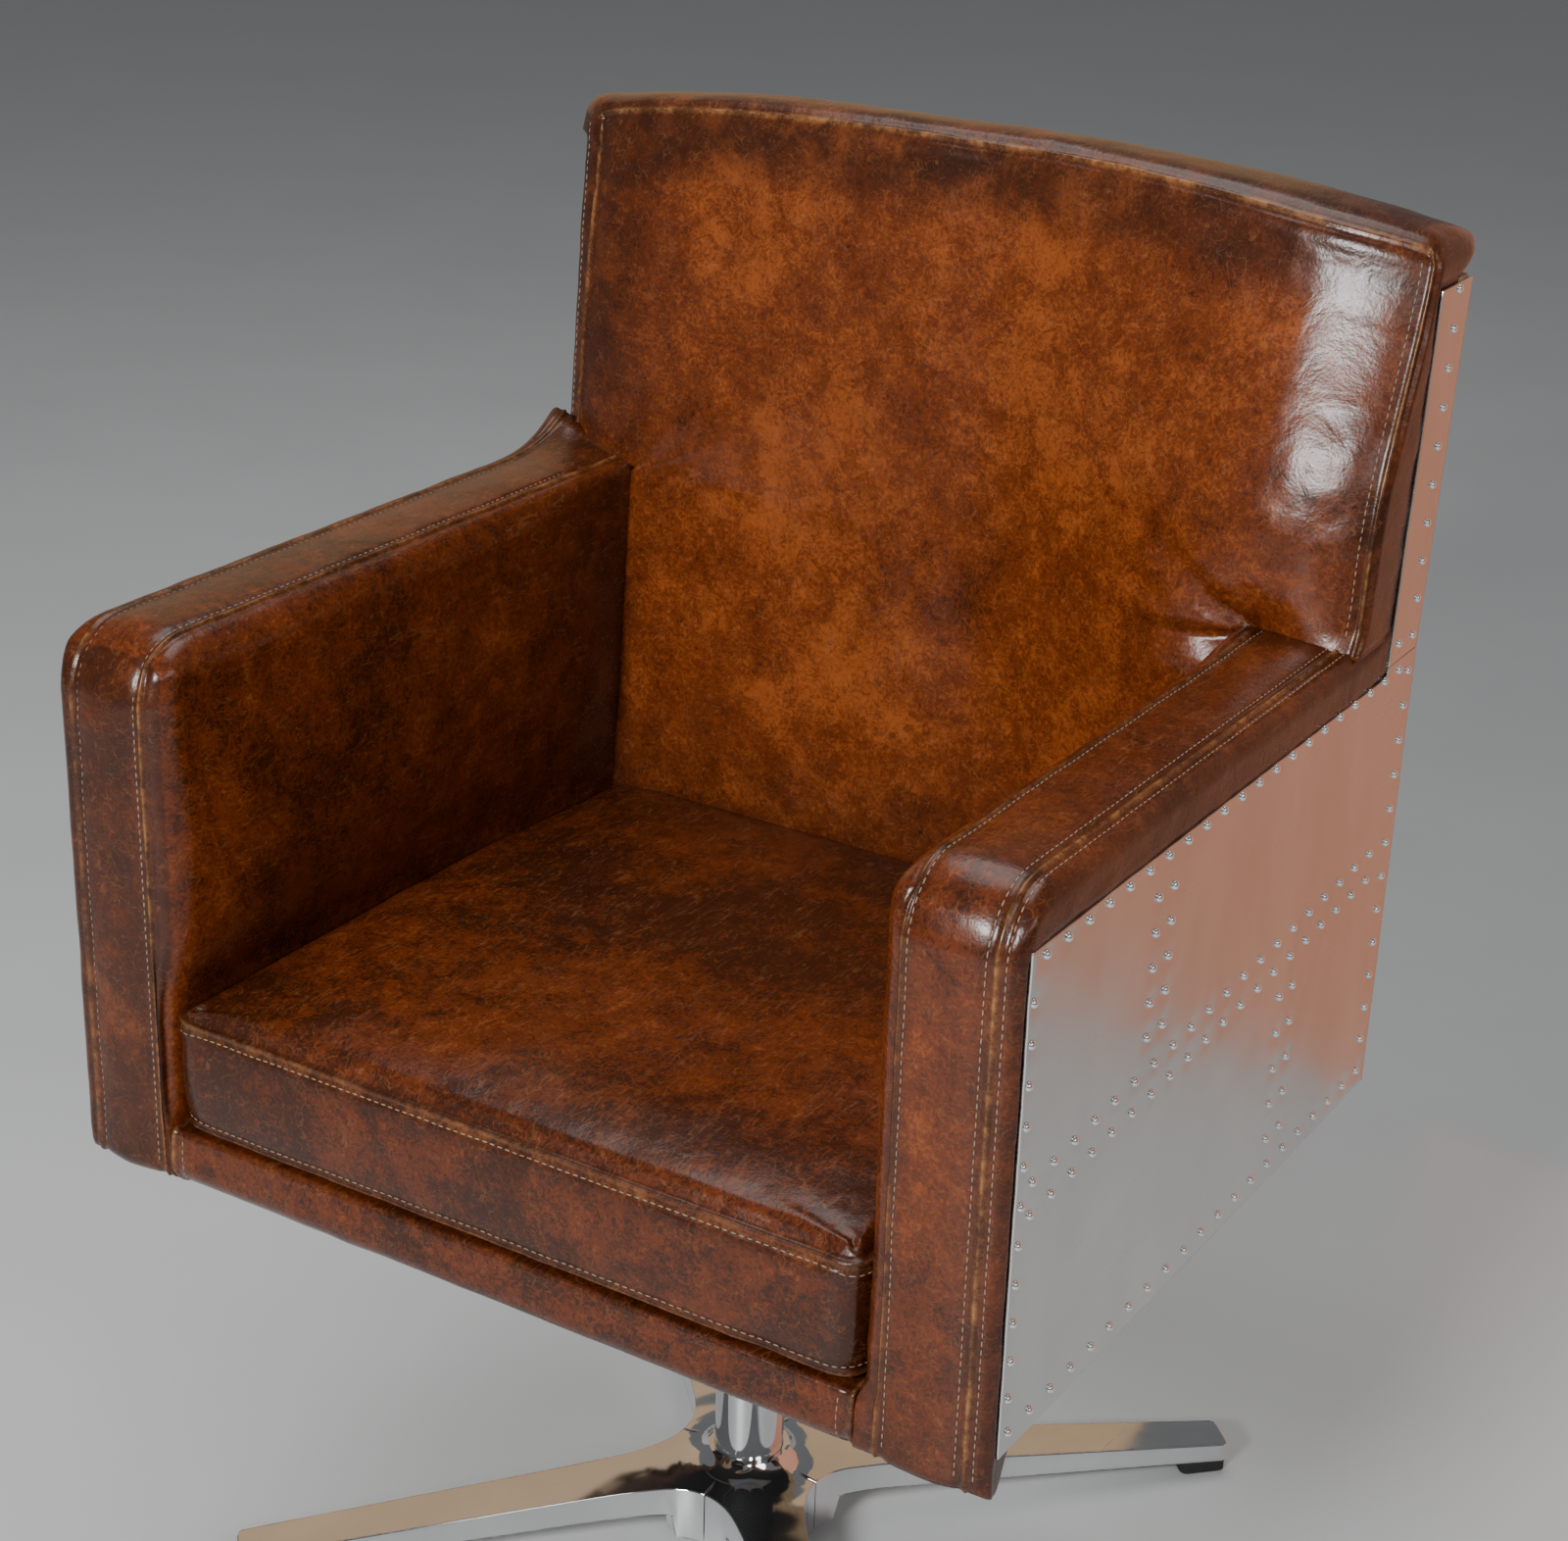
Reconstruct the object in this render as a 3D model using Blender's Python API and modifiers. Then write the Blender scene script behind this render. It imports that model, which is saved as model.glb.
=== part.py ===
"""Swivel tub office chair: padded leather shell, riveted sheet sides, star base."""
import math

import bmesh
import bpy
from mathutils import Matrix, Vector

# ---- driving dimensions, metres, +Z up, origin on the floor under the column ----
GAP = 0.0003
SHEET = 0.002
HALF_WIDTH = 0.345
FRAME_HALF = HALF_WIDTH - SHEET - GAP
ARM_INNER = 0.255
BETWEEN_ARMS = ARM_INNER - 0.0005
BOARD_INNER = 0.3183
ARM_FRONT = -0.301
ARM_REAR = 0.2215
ARM_TOP = 0.712
TUB_BOTTOM = 0.339
SHEET_FRONT = -0.2915
SHEET_BOTTOM = 0.3655
SHEET_STEP_Y = 0.198
SHEET_ARM_TOP = 0.681
LAP_HEIGHT = 0.688
STRIP_TOP = 0.931
DECK_BOTTOM = 0.3645
DECK_TOP = 0.3785
CUSHION_FRONT = -0.294
CUSHION_REAR = 0.1862
CUSHION_EDGE_TOP = 0.452
CUSHION_CROWN = 0.016
BACK_TOP_MIDDLE = 0.985
BACK_TOP_CORNER = 0.962
BACK_ROLL_REAR = 0.301
BACK_WING_BOTTOM = 0.7135
LEG_ANGLE = 45.0
LEG_RADIUS = 0.3714
COLUMN_RADIUS = 0.025
CYLINDER_RADIUS = 0.014
CYLINDER_TOP = 0.330
SEAT_TRAVEL = 0.090
LEVER_HEIGHT = 0.3417
LEVER_PIVOT_X = -0.0192

for old in list(bpy.data.objects):
    bpy.data.objects.remove(old)

chair = bpy.data.collections.new("swivel_office_chair")
cutters = bpy.data.collections.new("cutters")
bpy.context.scene.collection.children.link(chair)
bpy.context.scene.collection.children.link(cutters)


# ---- helpers ----
def material(name, color, metallic, roughness):
    made = bpy.data.materials.new(name)
    made.use_nodes = True
    shader = made.node_tree.nodes["Principled BSDF"]
    shader.inputs["Base Color"].default_value = (color[0], color[1], color[2], 1.0)
    shader.inputs["Metallic"].default_value = metallic
    shader.inputs["Roughness"].default_value = roughness
    return made


LOOKS = {
    "leather": ((0.22, 0.075, 0.022), 0.0, 0.4),
    "sheet": ((0.62, 0.62, 0.63), 1.0, 0.3),
    "chrome": ((0.75, 0.75, 0.76), 1.0, 0.08),
    "steel": ((0.30, 0.30, 0.31), 1.0, 0.4),
    "ply": ((0.55, 0.40, 0.24), 0.0, 0.7),
    "black": ((0.02, 0.02, 0.022), 0.0, 0.6),
}


def finish(bm, name, look, cutter=False):
    bmesh.ops.recalc_face_normals(bm, faces=bm.faces)
    mesh = bpy.data.meshes.new(name)
    bm.to_mesh(mesh)
    bm.free()
    made = bpy.data.objects.new(name, mesh)
    if cutter:
        cutters.objects.link(made)
        made.hide_render = True
        made.display_type = "WIRE"
        return made
    chair.objects.link(made)
    color, metallic, roughness = LOOKS[look]
    mesh.materials.append(material(name, color, metallic, roughness))
    return made


def add_box(bm, low, high):
    size = [high[i] - low[i] for i in range(3)]
    middle = [(high[i] + low[i]) / 2.0 for i in range(3)]
    placed = Matrix.Translation(middle) @ Matrix.Diagonal((size[0], size[1], size[2], 1.0))
    return bmesh.ops.create_cube(bm, size=1.0, matrix=placed)["verts"]


def box(name, look, low, high, cutter=False):
    bm = bmesh.new()
    add_box(bm, low, high)
    return finish(bm, name, look, cutter)


def add_rod(bm, radius, start, end, segments):
    start = Vector(start)
    end = Vector(end)
    along = end - start
    turned = along.to_track_quat("Z", "Y").to_matrix().to_4x4()
    placed = Matrix.Translation((start + end) / 2.0) @ turned
    bmesh.ops.create_cone(bm, cap_ends=True, segments=segments, radius1=radius,
                          radius2=radius, depth=along.length, matrix=placed)


def rod(name, look, radius, start, end, segments=24, cutter=False):
    bm = bmesh.new()
    add_rod(bm, radius, start, end, segments)
    return finish(bm, name, look, cutter)


def turned_part(name, look, profile, steps, cutter=False):
    """Revolve a closed outline of (radius, height) points round +Z."""
    bm = bmesh.new()
    ring = [bm.verts.new((radius, 0.0, height)) for radius, height in profile]
    edges = [bm.edges.new((ring[i], ring[(i + 1) % len(ring)])) for i in range(len(ring))]
    bmesh.ops.spin(bm, geom=ring + edges, cent=(0, 0, 0), axis=(0, 0, 1),
                   angle=math.tau, steps=steps, use_merge=True)
    bmesh.ops.remove_doubles(bm, verts=bm.verts, dist=0.00001)
    return finish(bm, name, look, cutter)


def boolean(target, tool, operation):
    modifier = target.modifiers.new(operation.lower() + "_" + tool.name, "BOOLEAN")
    modifier.operation = operation
    modifier.solver = "EXACT"
    modifier.object = tool


def cut(target, tool):
    boolean(target, tool, "DIFFERENCE")


def join(target, tool):
    boolean(target, tool, "UNION")


def cut_hole(target, radius, start, end, segments=16):
    name = "hole_" + target.name + "_" + str(len(target.modifiers))
    cut(target, rod(name, None, radius, start, end, segments, cutter=True))


def soften(target, width, segments):
    modifier = target.modifiers.new("soft_edges", "BEVEL")
    modifier.width = width
    modifier.segments = segments
    modifier.limit_method = "ANGLE"
    modifier.angle_limit = math.radians(40.0)


def rear_face(z):
    """Outer face of the rear sheet: nearly upright, then leaning above the lap joint."""
    if z < LAP_HEIGHT:
        return 0.2425 + (z - 0.366) * 0.0155
    return 0.2475 + (z - LAP_HEIGHT) * 0.0926


def set_depth(verts, split, front, rear):
    """Give every point in front of split the front line, the others the rear line."""
    for vert in verts:
        line = front if vert.co.y < split else rear
        vert.co.y = line(vert.co.x, vert.co.z)


def leaned_sheet(name, look, half, low, high, front, rear):
    bm = bmesh.new()
    add_box(bm, (-half, -1.0, low), (half, 1.0, high))
    set_depth(bm.verts, 0.0, lambda x, z: front(z), lambda x, z: rear(z))
    return finish(bm, name, look)


# ---- star base ----
def leg_top(radius):
    share = min(max((radius - 0.07) / (LEG_RADIUS - 0.07), 0.0), 1.0)
    return 0.050 - 0.026 * share


def leg_bottom(radius):
    share = min(max((radius - 0.07) / (LEG_RADIUS - 0.07), 0.0), 1.0)
    return leg_top(radius) - (0.0226 - 0.0076 * share)


def leg_half_width(radius):
    share = min(max((radius - 0.07) / (LEG_RADIUS - 0.07), 0.0), 1.0)
    return 0.025 - 0.009 * share


def leg(index):
    bm = bmesh.new()
    add_box(bm, (0.012, -0.02, 0.0), (LEG_RADIUS, 0.02, 0.05))
    long_edges = [edge for edge in bm.edges if abs(edge.verts[0].co.x - edge.verts[1].co.x) > 0.1]
    bmesh.ops.subdivide_edges(bm, edges=long_edges, cuts=6, use_grid_fill=True)
    for vert in bm.verts:
        radius = vert.co.x
        side = 1.0 if vert.co.y > 0.0 else -1.0
        flare = 0.030 * max(0.0, (0.085 - radius) / 0.085) ** 2
        vert.co.z = leg_top(radius) if vert.co.z > 0.025 else leg_bottom(radius)
        vert.co.y = side * (leg_half_width(radius) + flare)
    turn = Matrix.Rotation(math.radians(LEG_ANGLE + 90.0 * index), 3, "Z")
    bmesh.ops.rotate(bm, verts=bm.verts, cent=(0, 0, 0), matrix=turn)
    return finish(bm, "leg_" + str(index), None, cutter=True)


hub_outline = [(0.0, 0.0262), (0.061, 0.0262), (0.0625, 0.0490), (0.0600, 0.0512),
               (0.0480, 0.0535), (0.0360, 0.0580), (0.0300, 0.0650), (0.0, 0.0650)]
hub = bmesh.new()
points = [hub.verts.new((radius, 0.0, height)) for radius, height in hub_outline]
outline_edges = [hub.edges.new((points[i], points[i + 1])) for i in range(len(points) - 1)]
bmesh.ops.spin(hub, geom=points + outline_edges, cent=(0, 0, 0), axis=(0, 0, 1),
               angle=math.tau, steps=40, use_merge=True)
bmesh.ops.remove_doubles(hub, verts=hub.verts, dist=0.00001)
star_base = finish(hub, "star_base", "chrome")
for number in range(4):
    join(star_base, leg(number))
cut_hole(star_base, COLUMN_RADIUS + GAP, (0, 0, 0.0), (0, 0, 0.1), 40)


def polar(radius, index, height):
    angle = math.radians(LEG_ANGLE + 90.0 * index)
    return (radius * math.cos(angle), radius * math.sin(angle), height)


SCREW_AT = 0.3515
for number in range(4):
    bm = bmesh.new()
    verts = add_box(bm, (0.3340, -0.0158, 0.0), (0.3700, 0.0158, 0.01))
    for vert in verts:
        if vert.co.z > 0.005:
            vert.co.z = leg_bottom(vert.co.x) - GAP
    spin = Matrix.Rotation(math.radians(LEG_ANGLE + 90.0 * number), 3, "Z")
    bmesh.ops.rotate(bm, verts=bm.verts, cent=(0, 0, 0), matrix=spin)
    glide = finish(bm, "glide_" + str(number + 1), "black")
    cut_hole(glide, 0.0048, polar(SCREW_AT, number, -0.01), polar(SCREW_AT, number, 0.0040))
    cut_hole(glide, 0.0023, polar(SCREW_AT, number, 0.0030), polar(SCREW_AT, number, 0.02))
    cut_hole(star_base, 0.0023, polar(SCREW_AT, number, 0.0), polar(SCREW_AT, number, 0.0200))
    screw = rod("glide_screw_" + str(number + 1), "steel", 0.0045,
                polar(SCREW_AT, number, 0.0012), polar(SCREW_AT, number, 0.0037), 12)
    shank = rod("shank_" + str(number + 1), None, 0.0020, polar(SCREW_AT, number, 0.0020),
                polar(SCREW_AT, number, 0.0190), 12, cutter=True)
    join(screw, shank)

# ---- column ----
turned_part("column_tube", "chrome", [
    (COLUMN_RADIUS, 0.250), (COLUMN_RADIUS, 0.0303), (0.0056, 0.0303), (0.0056, 0.0353),
    (0.0200, 0.0353), (0.0200, 0.250)], 40)
turned_part("column_bush", "black", [
    (0.0197, 0.2495), (0.0197, 0.185), (0.01405, 0.185), (0.01405, 0.2495)], 40)
turned_part("thrust_bearing", "steel", [
    (0.0120, 0.0396), (0.0120, 0.0356), (0.0056, 0.0356), (0.0056, 0.0396)], 24)
turned_part("piston_rod", "steel", [
    (0.0, 0.205), (0.0110, 0.205), (0.0110, 0.193), (0.0050, 0.190), (0.0050, 0.0245),
    (0.0, 0.0245)], 24)
turned_part("retaining_clip", "steel", [
    (0.0095, 0.0300), (0.0095, 0.0275), (0.0053, 0.0275), (0.0053, 0.0300)], 24)
turned_part("gas_cylinder", "steel", [
    (CYLINDER_RADIUS, CYLINDER_TOP), (CYLINDER_RADIUS, 0.0450), (0.0055, 0.0450),
    (0.0055, 0.0530), (0.0115, 0.0530), (0.0115, 0.3180), (0.0031, 0.3180),
    (0.0031, CYLINDER_TOP)], 40)
turned_part("release_button", "steel", [
    (0.0, 0.3379), (0.0050, 0.3379), (0.0050, 0.3335), (0.0028, 0.3335), (0.0028, 0.3220),
    (0.0, 0.3220)], 16)

# ---- seat plate, lever ----
PLATE_HALF = 0.075
seat_plate = box("seat_plate", "steel", (-PLATE_HALF, -PLATE_HALF, 0.3602),
                 (PLATE_HALF, PLATE_HALF, 0.3642))
join(seat_plate, rod("socket", None, 0.024, (0, 0, 0.290), (0, 0, 0.3620), 40, cutter=True))
cut_hole(seat_plate, CYLINDER_RADIUS + GAP, (0, 0, 0.2), (0, 0, 0.4), 40)
cut(seat_plate, box("lever_slot", None, (-0.030, -0.0045, 0.3340), (-0.008, 0.0045, 0.3495),
                    cutter=True))
cut_hole(seat_plate, 0.0018, (LEVER_PIVOT_X, -0.03, LEVER_HEIGHT),
         (LEVER_PIVOT_X, 0.03, LEVER_HEIGHT), 12)
rod("lever_pin", "steel", 0.0015, (LEVER_PIVOT_X, -0.012, LEVER_HEIGHT),
    (LEVER_PIVOT_X, 0.012, LEVER_HEIGHT), 12)


def bent_rod(name, look, path, radius):
    curve = bpy.data.curves.new(name, "CURVE")
    curve.dimensions = "3D"
    curve.bevel_depth = radius
    curve.bevel_resolution = 2
    curve.use_fill_caps = True
    line = curve.splines.new("POLY")
    line.points.add(len(path) - 1)
    for point, place in zip(line.points, path):
        point.co = (place[0], place[1], place[2], 1.0)
    shaped = bpy.data.objects.new(name + "_path", curve)
    bpy.context.scene.collection.objects.link(shaped)
    graph = bpy.context.evaluated_depsgraph_get()
    bm = bmesh.new()
    bm.from_mesh(shaped.evaluated_get(graph).to_mesh())
    bpy.data.objects.remove(shaped)
    return finish(bm, name, look)


height_lever = bent_rod("height_lever", "steel", [
    (0.003, 0, LEVER_HEIGHT), (-0.034, 0, LEVER_HEIGHT), (-0.100, 0, 0.3300),
    (-0.262, 0, 0.3190)], 0.0035)
cut_hole(height_lever, 0.0018, (LEVER_PIVOT_X, -0.02, LEVER_HEIGHT),
         (LEVER_PIVOT_X, 0.02, LEVER_HEIGHT), 12)
lever_grip = box("lever_grip", "black", (-0.3020, -0.0160, 0.3120), (-0.2250, 0.0160, 0.3250))
soften(lever_grip, 0.004, 2)
cut(lever_grip, rod("grip_socket", None, 0.0038, (-0.2675, 0, 0.31864), (-0.2150, 0, 0.32219),
                    16, cutter=True))

# ---- seat deck and rails ----
seat_deck = box("seat_deck", "ply", (-BETWEEN_ARMS, -0.2610, DECK_BOTTOM),
                (BETWEEN_ARMS, 0.2215, DECK_TOP))
box("front_rail_board", "ply", (-BETWEEN_ARMS, -0.2617, 0.3420),
    (BETWEEN_ARMS, -0.2397, DECK_BOTTOM - GAP))
box("rear_rail_board", "ply", (-BETWEEN_ARMS, 0.1950, 0.3420),
    (BETWEEN_ARMS, 0.2215, DECK_BOTTOM - GAP))
bottom_cover = box("bottom_cover", "black", (-BETWEEN_ARMS, -0.2390, 0.3475),
                   (BETWEEN_ARMS, 0.1945, 0.3495))
cut(bottom_cover, box("cover_window", None, (-0.080, -0.080, 0.33), (0.080, 0.080, 0.36),
                      cutter=True))
cut_hole(seat_deck, 0.0180, (0, 0, 0.36), (0, 0, 0.39), 24)
number = 0
for side in (-1, 1):
    for end in (-1, 1):
        number += 1
        x = side * 0.060
        y = end * 0.060
        cut_hole(seat_plate, 0.0043, (x, y, 0.35), (x, y, 0.37))
        cut_hole(seat_deck, 0.0043, (x, y, 0.35), (x, y, 0.39))
        bolt = rod("plate_bolt_" + str(number), "steel", 0.0075, (x, y, 0.3545),
                   (x, y, 0.3599), 6)
        join(bolt, rod("bolt_shank_" + str(number), None, 0.0040, (x, y, 0.3560),
                       (x, y, 0.3780), 16, cutter=True))

# ---- arms: padded box round a board, sheet outside ----
for side, label in ((-1, "left"), (1, "right")):
    def sided(name, look, low, high, cutter=False, mirror=side):
        near = mirror * low[0]
        far = mirror * high[0]
        return box(name, look, (min(near, far), low[1], low[2]), (max(near, far), high[1], high[2]),
                   cutter)

    pad = sided("arm_upholstery_" + label, "leather", (ARM_INNER, ARM_FRONT, TUB_BOTTOM),
                (FRAME_HALF, ARM_REAR, ARM_TOP))
    soften(pad, 0.010, 3)
    cut(pad, sided("arm_pocket_" + label, None, (BOARD_INNER - GAP, -0.2805, 0.30),
                   (0.40, 0.30, 0.6805), True))
    cut(pad, sided("arm_under_" + label, None, (0.20, -0.2620, 0.30), (0.40, 0.30, 0.3652), True))
    sided("arm_board_" + label, "ply", (BOARD_INNER, -0.2802, SHEET_BOTTOM),
          (FRAME_HALF, ARM_REAR, 0.6802))

soft_rail = box("front_rail_upholstery", "leather", (-BETWEEN_ARMS, -0.299, TUB_BOTTOM),
                (BETWEEN_ARMS, -0.2620, 0.3785))
soften(soft_rail, 0.010, 3)


# ---- riveted sheet: sides, upper strips, rear ----
def side_sheet(name, outline, side):
    bm = bmesh.new()
    inner = [bm.verts.new((side * (HALF_WIDTH - SHEET), y, z)) for y, z in outline]
    face = bm.faces.new(inner)
    made = bmesh.ops.extrude_face_region(bm, geom=[face])
    moved = [item for item in made["geom"] if isinstance(item, bmesh.types.BMVert)]
    bmesh.ops.translate(bm, verts=moved, vec=(side * SHEET, 0, 0))
    return finish(bm, name, "sheet")


def sheet_rear(z):
    return rear_face(z) - SHEET - GAP


for side, label in ((-1, "left"), (1, "right")):
    side_sheet("side_panel_" + label, [
        (SHEET_FRONT, SHEET_BOTTOM), (SHEET_FRONT, SHEET_ARM_TOP - 0.004),
        (SHEET_FRONT + 0.004, SHEET_ARM_TOP), (SHEET_STEP_Y, SHEET_ARM_TOP),
        (SHEET_STEP_Y, LAP_HEIGHT - 0.0004), (sheet_rear(LAP_HEIGHT - 0.001), LAP_HEIGHT - 0.0004),
        (sheet_rear(0.374), 0.374), (sheet_rear(0.366) - 0.008, SHEET_BOTTOM)], side)
    side_sheet("side_strip_" + label, [
        (SHEET_STEP_Y, LAP_HEIGHT), (SHEET_STEP_Y + 0.024, STRIP_TOP),
        (sheet_rear(STRIP_TOP), STRIP_TOP), (sheet_rear(LAP_HEIGHT), LAP_HEIGHT)], side)

leaned_sheet("back_panel_lower", "sheet", HALF_WIDTH, 0.366, LAP_HEIGHT - 0.0004,
             lambda z: rear_face(z) - SHEET, rear_face)
leaned_sheet("back_panel_upper", "sheet", HALF_WIDTH, LAP_HEIGHT, STRIP_TOP,
             lambda z: rear_face(z) - SHEET, rear_face)

BOARD = 0.018
bm = bmesh.new()
add_box(bm, (-FRAME_HALF, -1.0, SHEET_BOTTOM), (FRAME_HALF, 1.0, STRIP_TOP + 0.002))
bmesh.ops.bisect_plane(bm, geom=bm.verts[:] + bm.edges[:] + bm.faces[:],
                       plane_co=(0, 0, LAP_HEIGHT), plane_no=(0, 0, 1))
set_depth(bm.verts, 0.0, lambda x, z: rear_face(z) - SHEET - GAP - BOARD,
          lambda x, z: rear_face(z) - SHEET - GAP)
finish(bm, "back_board", "ply")


# ---- padded back: T shape, wings above the arms, roll over the top edge ----
def back_front(x, z):
    middle = 0.188 + (z - 0.38) * 0.080
    rise = min(max((z - 0.50) / 0.21, 0.0), 1.0)
    wing = 0.045 * rise - max(0.0, z - 0.72) * 0.12
    return middle - wing * (abs(x) / 0.335) ** 3


def back_rear(x, z):
    if z > STRIP_TOP + 0.0028:
        return BACK_ROLL_REAR
    return rear_face(z) - SHEET - 2.0 * GAP - BOARD


def back_top(x):
    drop = (BACK_TOP_MIDDLE - BACK_TOP_CORNER) * (abs(x) / FRAME_HALF) ** 3
    return BACK_TOP_MIDDLE - drop


across = [-FRAME_HALF, -BETWEEN_ARMS, -0.17, -0.085, 0.0, 0.085, 0.17, BETWEEN_ARMS, FRAME_HALF]
upward = [DECK_TOP + GAP, 0.46, 0.54, 0.62, LAP_HEIGHT, BACK_WING_BOTTOM, 0.80, 0.87,
          STRIP_TOP + 0.0025, STRIP_TOP + 0.0035, 1.0]
bm = bmesh.new()
stand_up = Matrix.Rotation(math.radians(90.0), 4, "X")
bmesh.ops.create_grid(bm, x_segments=len(across) - 1, y_segments=len(upward) - 1, size=1.0,
                      matrix=stand_up)
for vert in bm.verts:
    column = round((vert.co.x + 1.0) / 2.0 * (len(across) - 1))
    row = round((vert.co.z + 1.0) / 2.0 * (len(upward) - 1))
    vert.co.x = across[column]
    vert.co.z = min(upward[row], back_top(across[column]))
low_sides = [face for face in bm.faces
             if abs(face.calc_center_median().x) > BETWEEN_ARMS
             and face.calc_center_median().z < BACK_WING_BOTTOM]
bmesh.ops.delete(bm, geom=low_sides, context="FACES")
made = bmesh.ops.extrude_face_region(bm, geom=bm.faces[:])
moved = [item for item in made["geom"] if isinstance(item, bmesh.types.BMVert)]
bmesh.ops.translate(bm, verts=moved, vec=(0, 1.0, 0))
set_depth(bm.verts, 0.5, back_front, back_rear)
bmesh.ops.recalc_face_normals(bm, faces=bm.faces)
rim = [edge for edge in bm.edges
       if edge.calc_face_angle(0.0) > math.radians(40.0)
       and (edge.verts[0].co.y + edge.verts[1].co.y < 0.49 or edge.verts[0].co.z > 0.95)
       and min(edge.verts[0].co.z, edge.verts[1].co.z) > 0.40
       and edge.calc_face_angle_signed(0.0) > 0.0]
bmesh.ops.bevel(bm, geom=rim, offset=0.009, segments=2, profile=0.5, affect="EDGES",
                clamp_overlap=True, material=-1)
finish(bm, "back_upholstery", "leather")

# ---- loose-look boxed seat cushion with a crowned top ----
bm = bmesh.new()
half = BETWEEN_ARMS - 0.0010
add_box(bm, (-half, CUSHION_FRONT, DECK_TOP + GAP), (half, CUSHION_REAR, CUSHION_EDGE_TOP))
flat = [edge for edge in bm.edges if abs(edge.verts[0].co.z - edge.verts[1].co.z) < 0.001]
bmesh.ops.subdivide_edges(bm, edges=flat, cuts=5, use_grid_fill=True)
for vert in bm.verts:
    if vert.co.z > 0.44:
        u = abs(vert.co.x) / half
        v = abs(vert.co.y - (CUSHION_FRONT + CUSHION_REAR) / 2.0) * 2.0 / (CUSHION_REAR - CUSHION_FRONT)
        vert.co.z += CUSHION_CROWN * (1.0 - u ** 3) * (1.0 - v ** 3)
cushion = finish(bm, "seat_cushion", "leather")
soften(cushion, 0.007, 2)
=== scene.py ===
"""Swivel tub office chair: waxed leather, riveted sheet sides and a polished star base,
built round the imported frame."""

import math

import bmesh
import bpy
import numpy as np
from bpy.props import FloatProperty, FloatVectorProperty, PointerProperty
from mathutils import Matrix, Vector, noise
from mathutils.bvhtree import BVHTree


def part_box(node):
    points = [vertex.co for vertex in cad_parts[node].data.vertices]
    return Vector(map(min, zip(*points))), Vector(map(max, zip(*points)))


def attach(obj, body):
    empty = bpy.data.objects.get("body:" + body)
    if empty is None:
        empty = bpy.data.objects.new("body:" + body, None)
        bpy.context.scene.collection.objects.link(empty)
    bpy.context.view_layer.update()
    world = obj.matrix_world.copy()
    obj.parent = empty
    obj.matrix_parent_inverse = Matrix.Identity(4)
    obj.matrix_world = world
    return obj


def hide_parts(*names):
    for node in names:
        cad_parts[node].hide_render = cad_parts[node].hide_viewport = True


bl_info = {
    "name": "Swivel Tub Office Chair",
    "version": (1, 0, 0),
    "blender": (4, 5, 0),
    "location": "3D View > Sidebar > Tub Chair",
    "description": "Builds the leather, sheet metal and polished base of a swivel tub chair",
    "category": "Object",
}

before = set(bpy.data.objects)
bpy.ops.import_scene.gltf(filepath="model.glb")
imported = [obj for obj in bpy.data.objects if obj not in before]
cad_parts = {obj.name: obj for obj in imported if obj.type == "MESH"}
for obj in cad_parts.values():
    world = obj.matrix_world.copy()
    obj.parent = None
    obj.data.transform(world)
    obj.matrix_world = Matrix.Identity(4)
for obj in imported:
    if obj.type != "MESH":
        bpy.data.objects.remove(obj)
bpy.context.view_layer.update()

# ---- places taken from the frame ----
ARM_LOW, ARM_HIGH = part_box("arm_upholstery_right")
BOARD_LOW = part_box("arm_board_right")[0]
RAIL_LOW, RAIL_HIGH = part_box("front_rail_upholstery")
SEAT_LOW, SEAT_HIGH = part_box("seat_cushion")
BACK_LOW, BACK_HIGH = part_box("back_upholstery")
PANEL_LOW, PANEL_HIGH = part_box("side_panel_right")
STRIP_LOW, STRIP_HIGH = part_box("side_strip_right")
REAR_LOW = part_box("back_panel_lower")[0]
REAR_UP_LOW, REAR_UP_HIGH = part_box("back_panel_upper")
COLUMN_LOW, COLUMN_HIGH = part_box("column_tube")
CYLINDER_LOW, CYLINDER_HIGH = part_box("gas_cylinder")
STAR_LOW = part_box("star_base")[0]

LAP = REAR_UP_LOW.z  # height where the upper sheets lap the lower ones
STEP_Y = STRIP_LOW.y  # front edge of the upper side strips at their foot

# ---- sizes of the visible pieces, in metres ----
CUSHION_EDGE = 0.4630  # height of the cushion's top edge
CUSHION_HALF = 0.2530
CUSHION_CROWN = 0.0135
CUSHION_BELLY = 0.0052
ARM_OUTER = 0.3440
ARM_INNER_SEAM = 0.270
ARM_OUTER_SEAM = 0.329
ARM_BEND = 0.043  # radius from the top of an arm down to its front
ARM_SWELL = 0.0125
ARM_FLARE = 0.024  # rise of an arm's outer edge beside the back
ARM_SHEET_TOP = 0.681
BACK_EDGE = 0.3438
BACK_THICK = 0.050
BACK_SEAM = 0.3400
BACK_IN = 0.2545  # half width of the back between the arms
WING_Z = 0.7085  # underside of the back where it passes over the arms
CREST_DROP = 0.0235  # how much lower the crest is at its ends
RAIL_DROP = 0.0055
SHEET_IN = 0.3424  # soft pieces stay inside this behind the side sheets
SHEET_REAR = 0.2475
LEFT_GIVE = 0.0100  # the left arm and the cushion give to each other by this
LEFT_SETBACK = 0.0365  # front edge of the left strip, behind that of the right one
LEFT_INSET = 0.0125  # the left strip stands this much nearer the middle
LEFT_TRIM = 0.0210  # the back board ends this much short on the left
STAR_BORE = 0.02525
STAR_TIP = 0.3705
FILLET_START = 0.041


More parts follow.
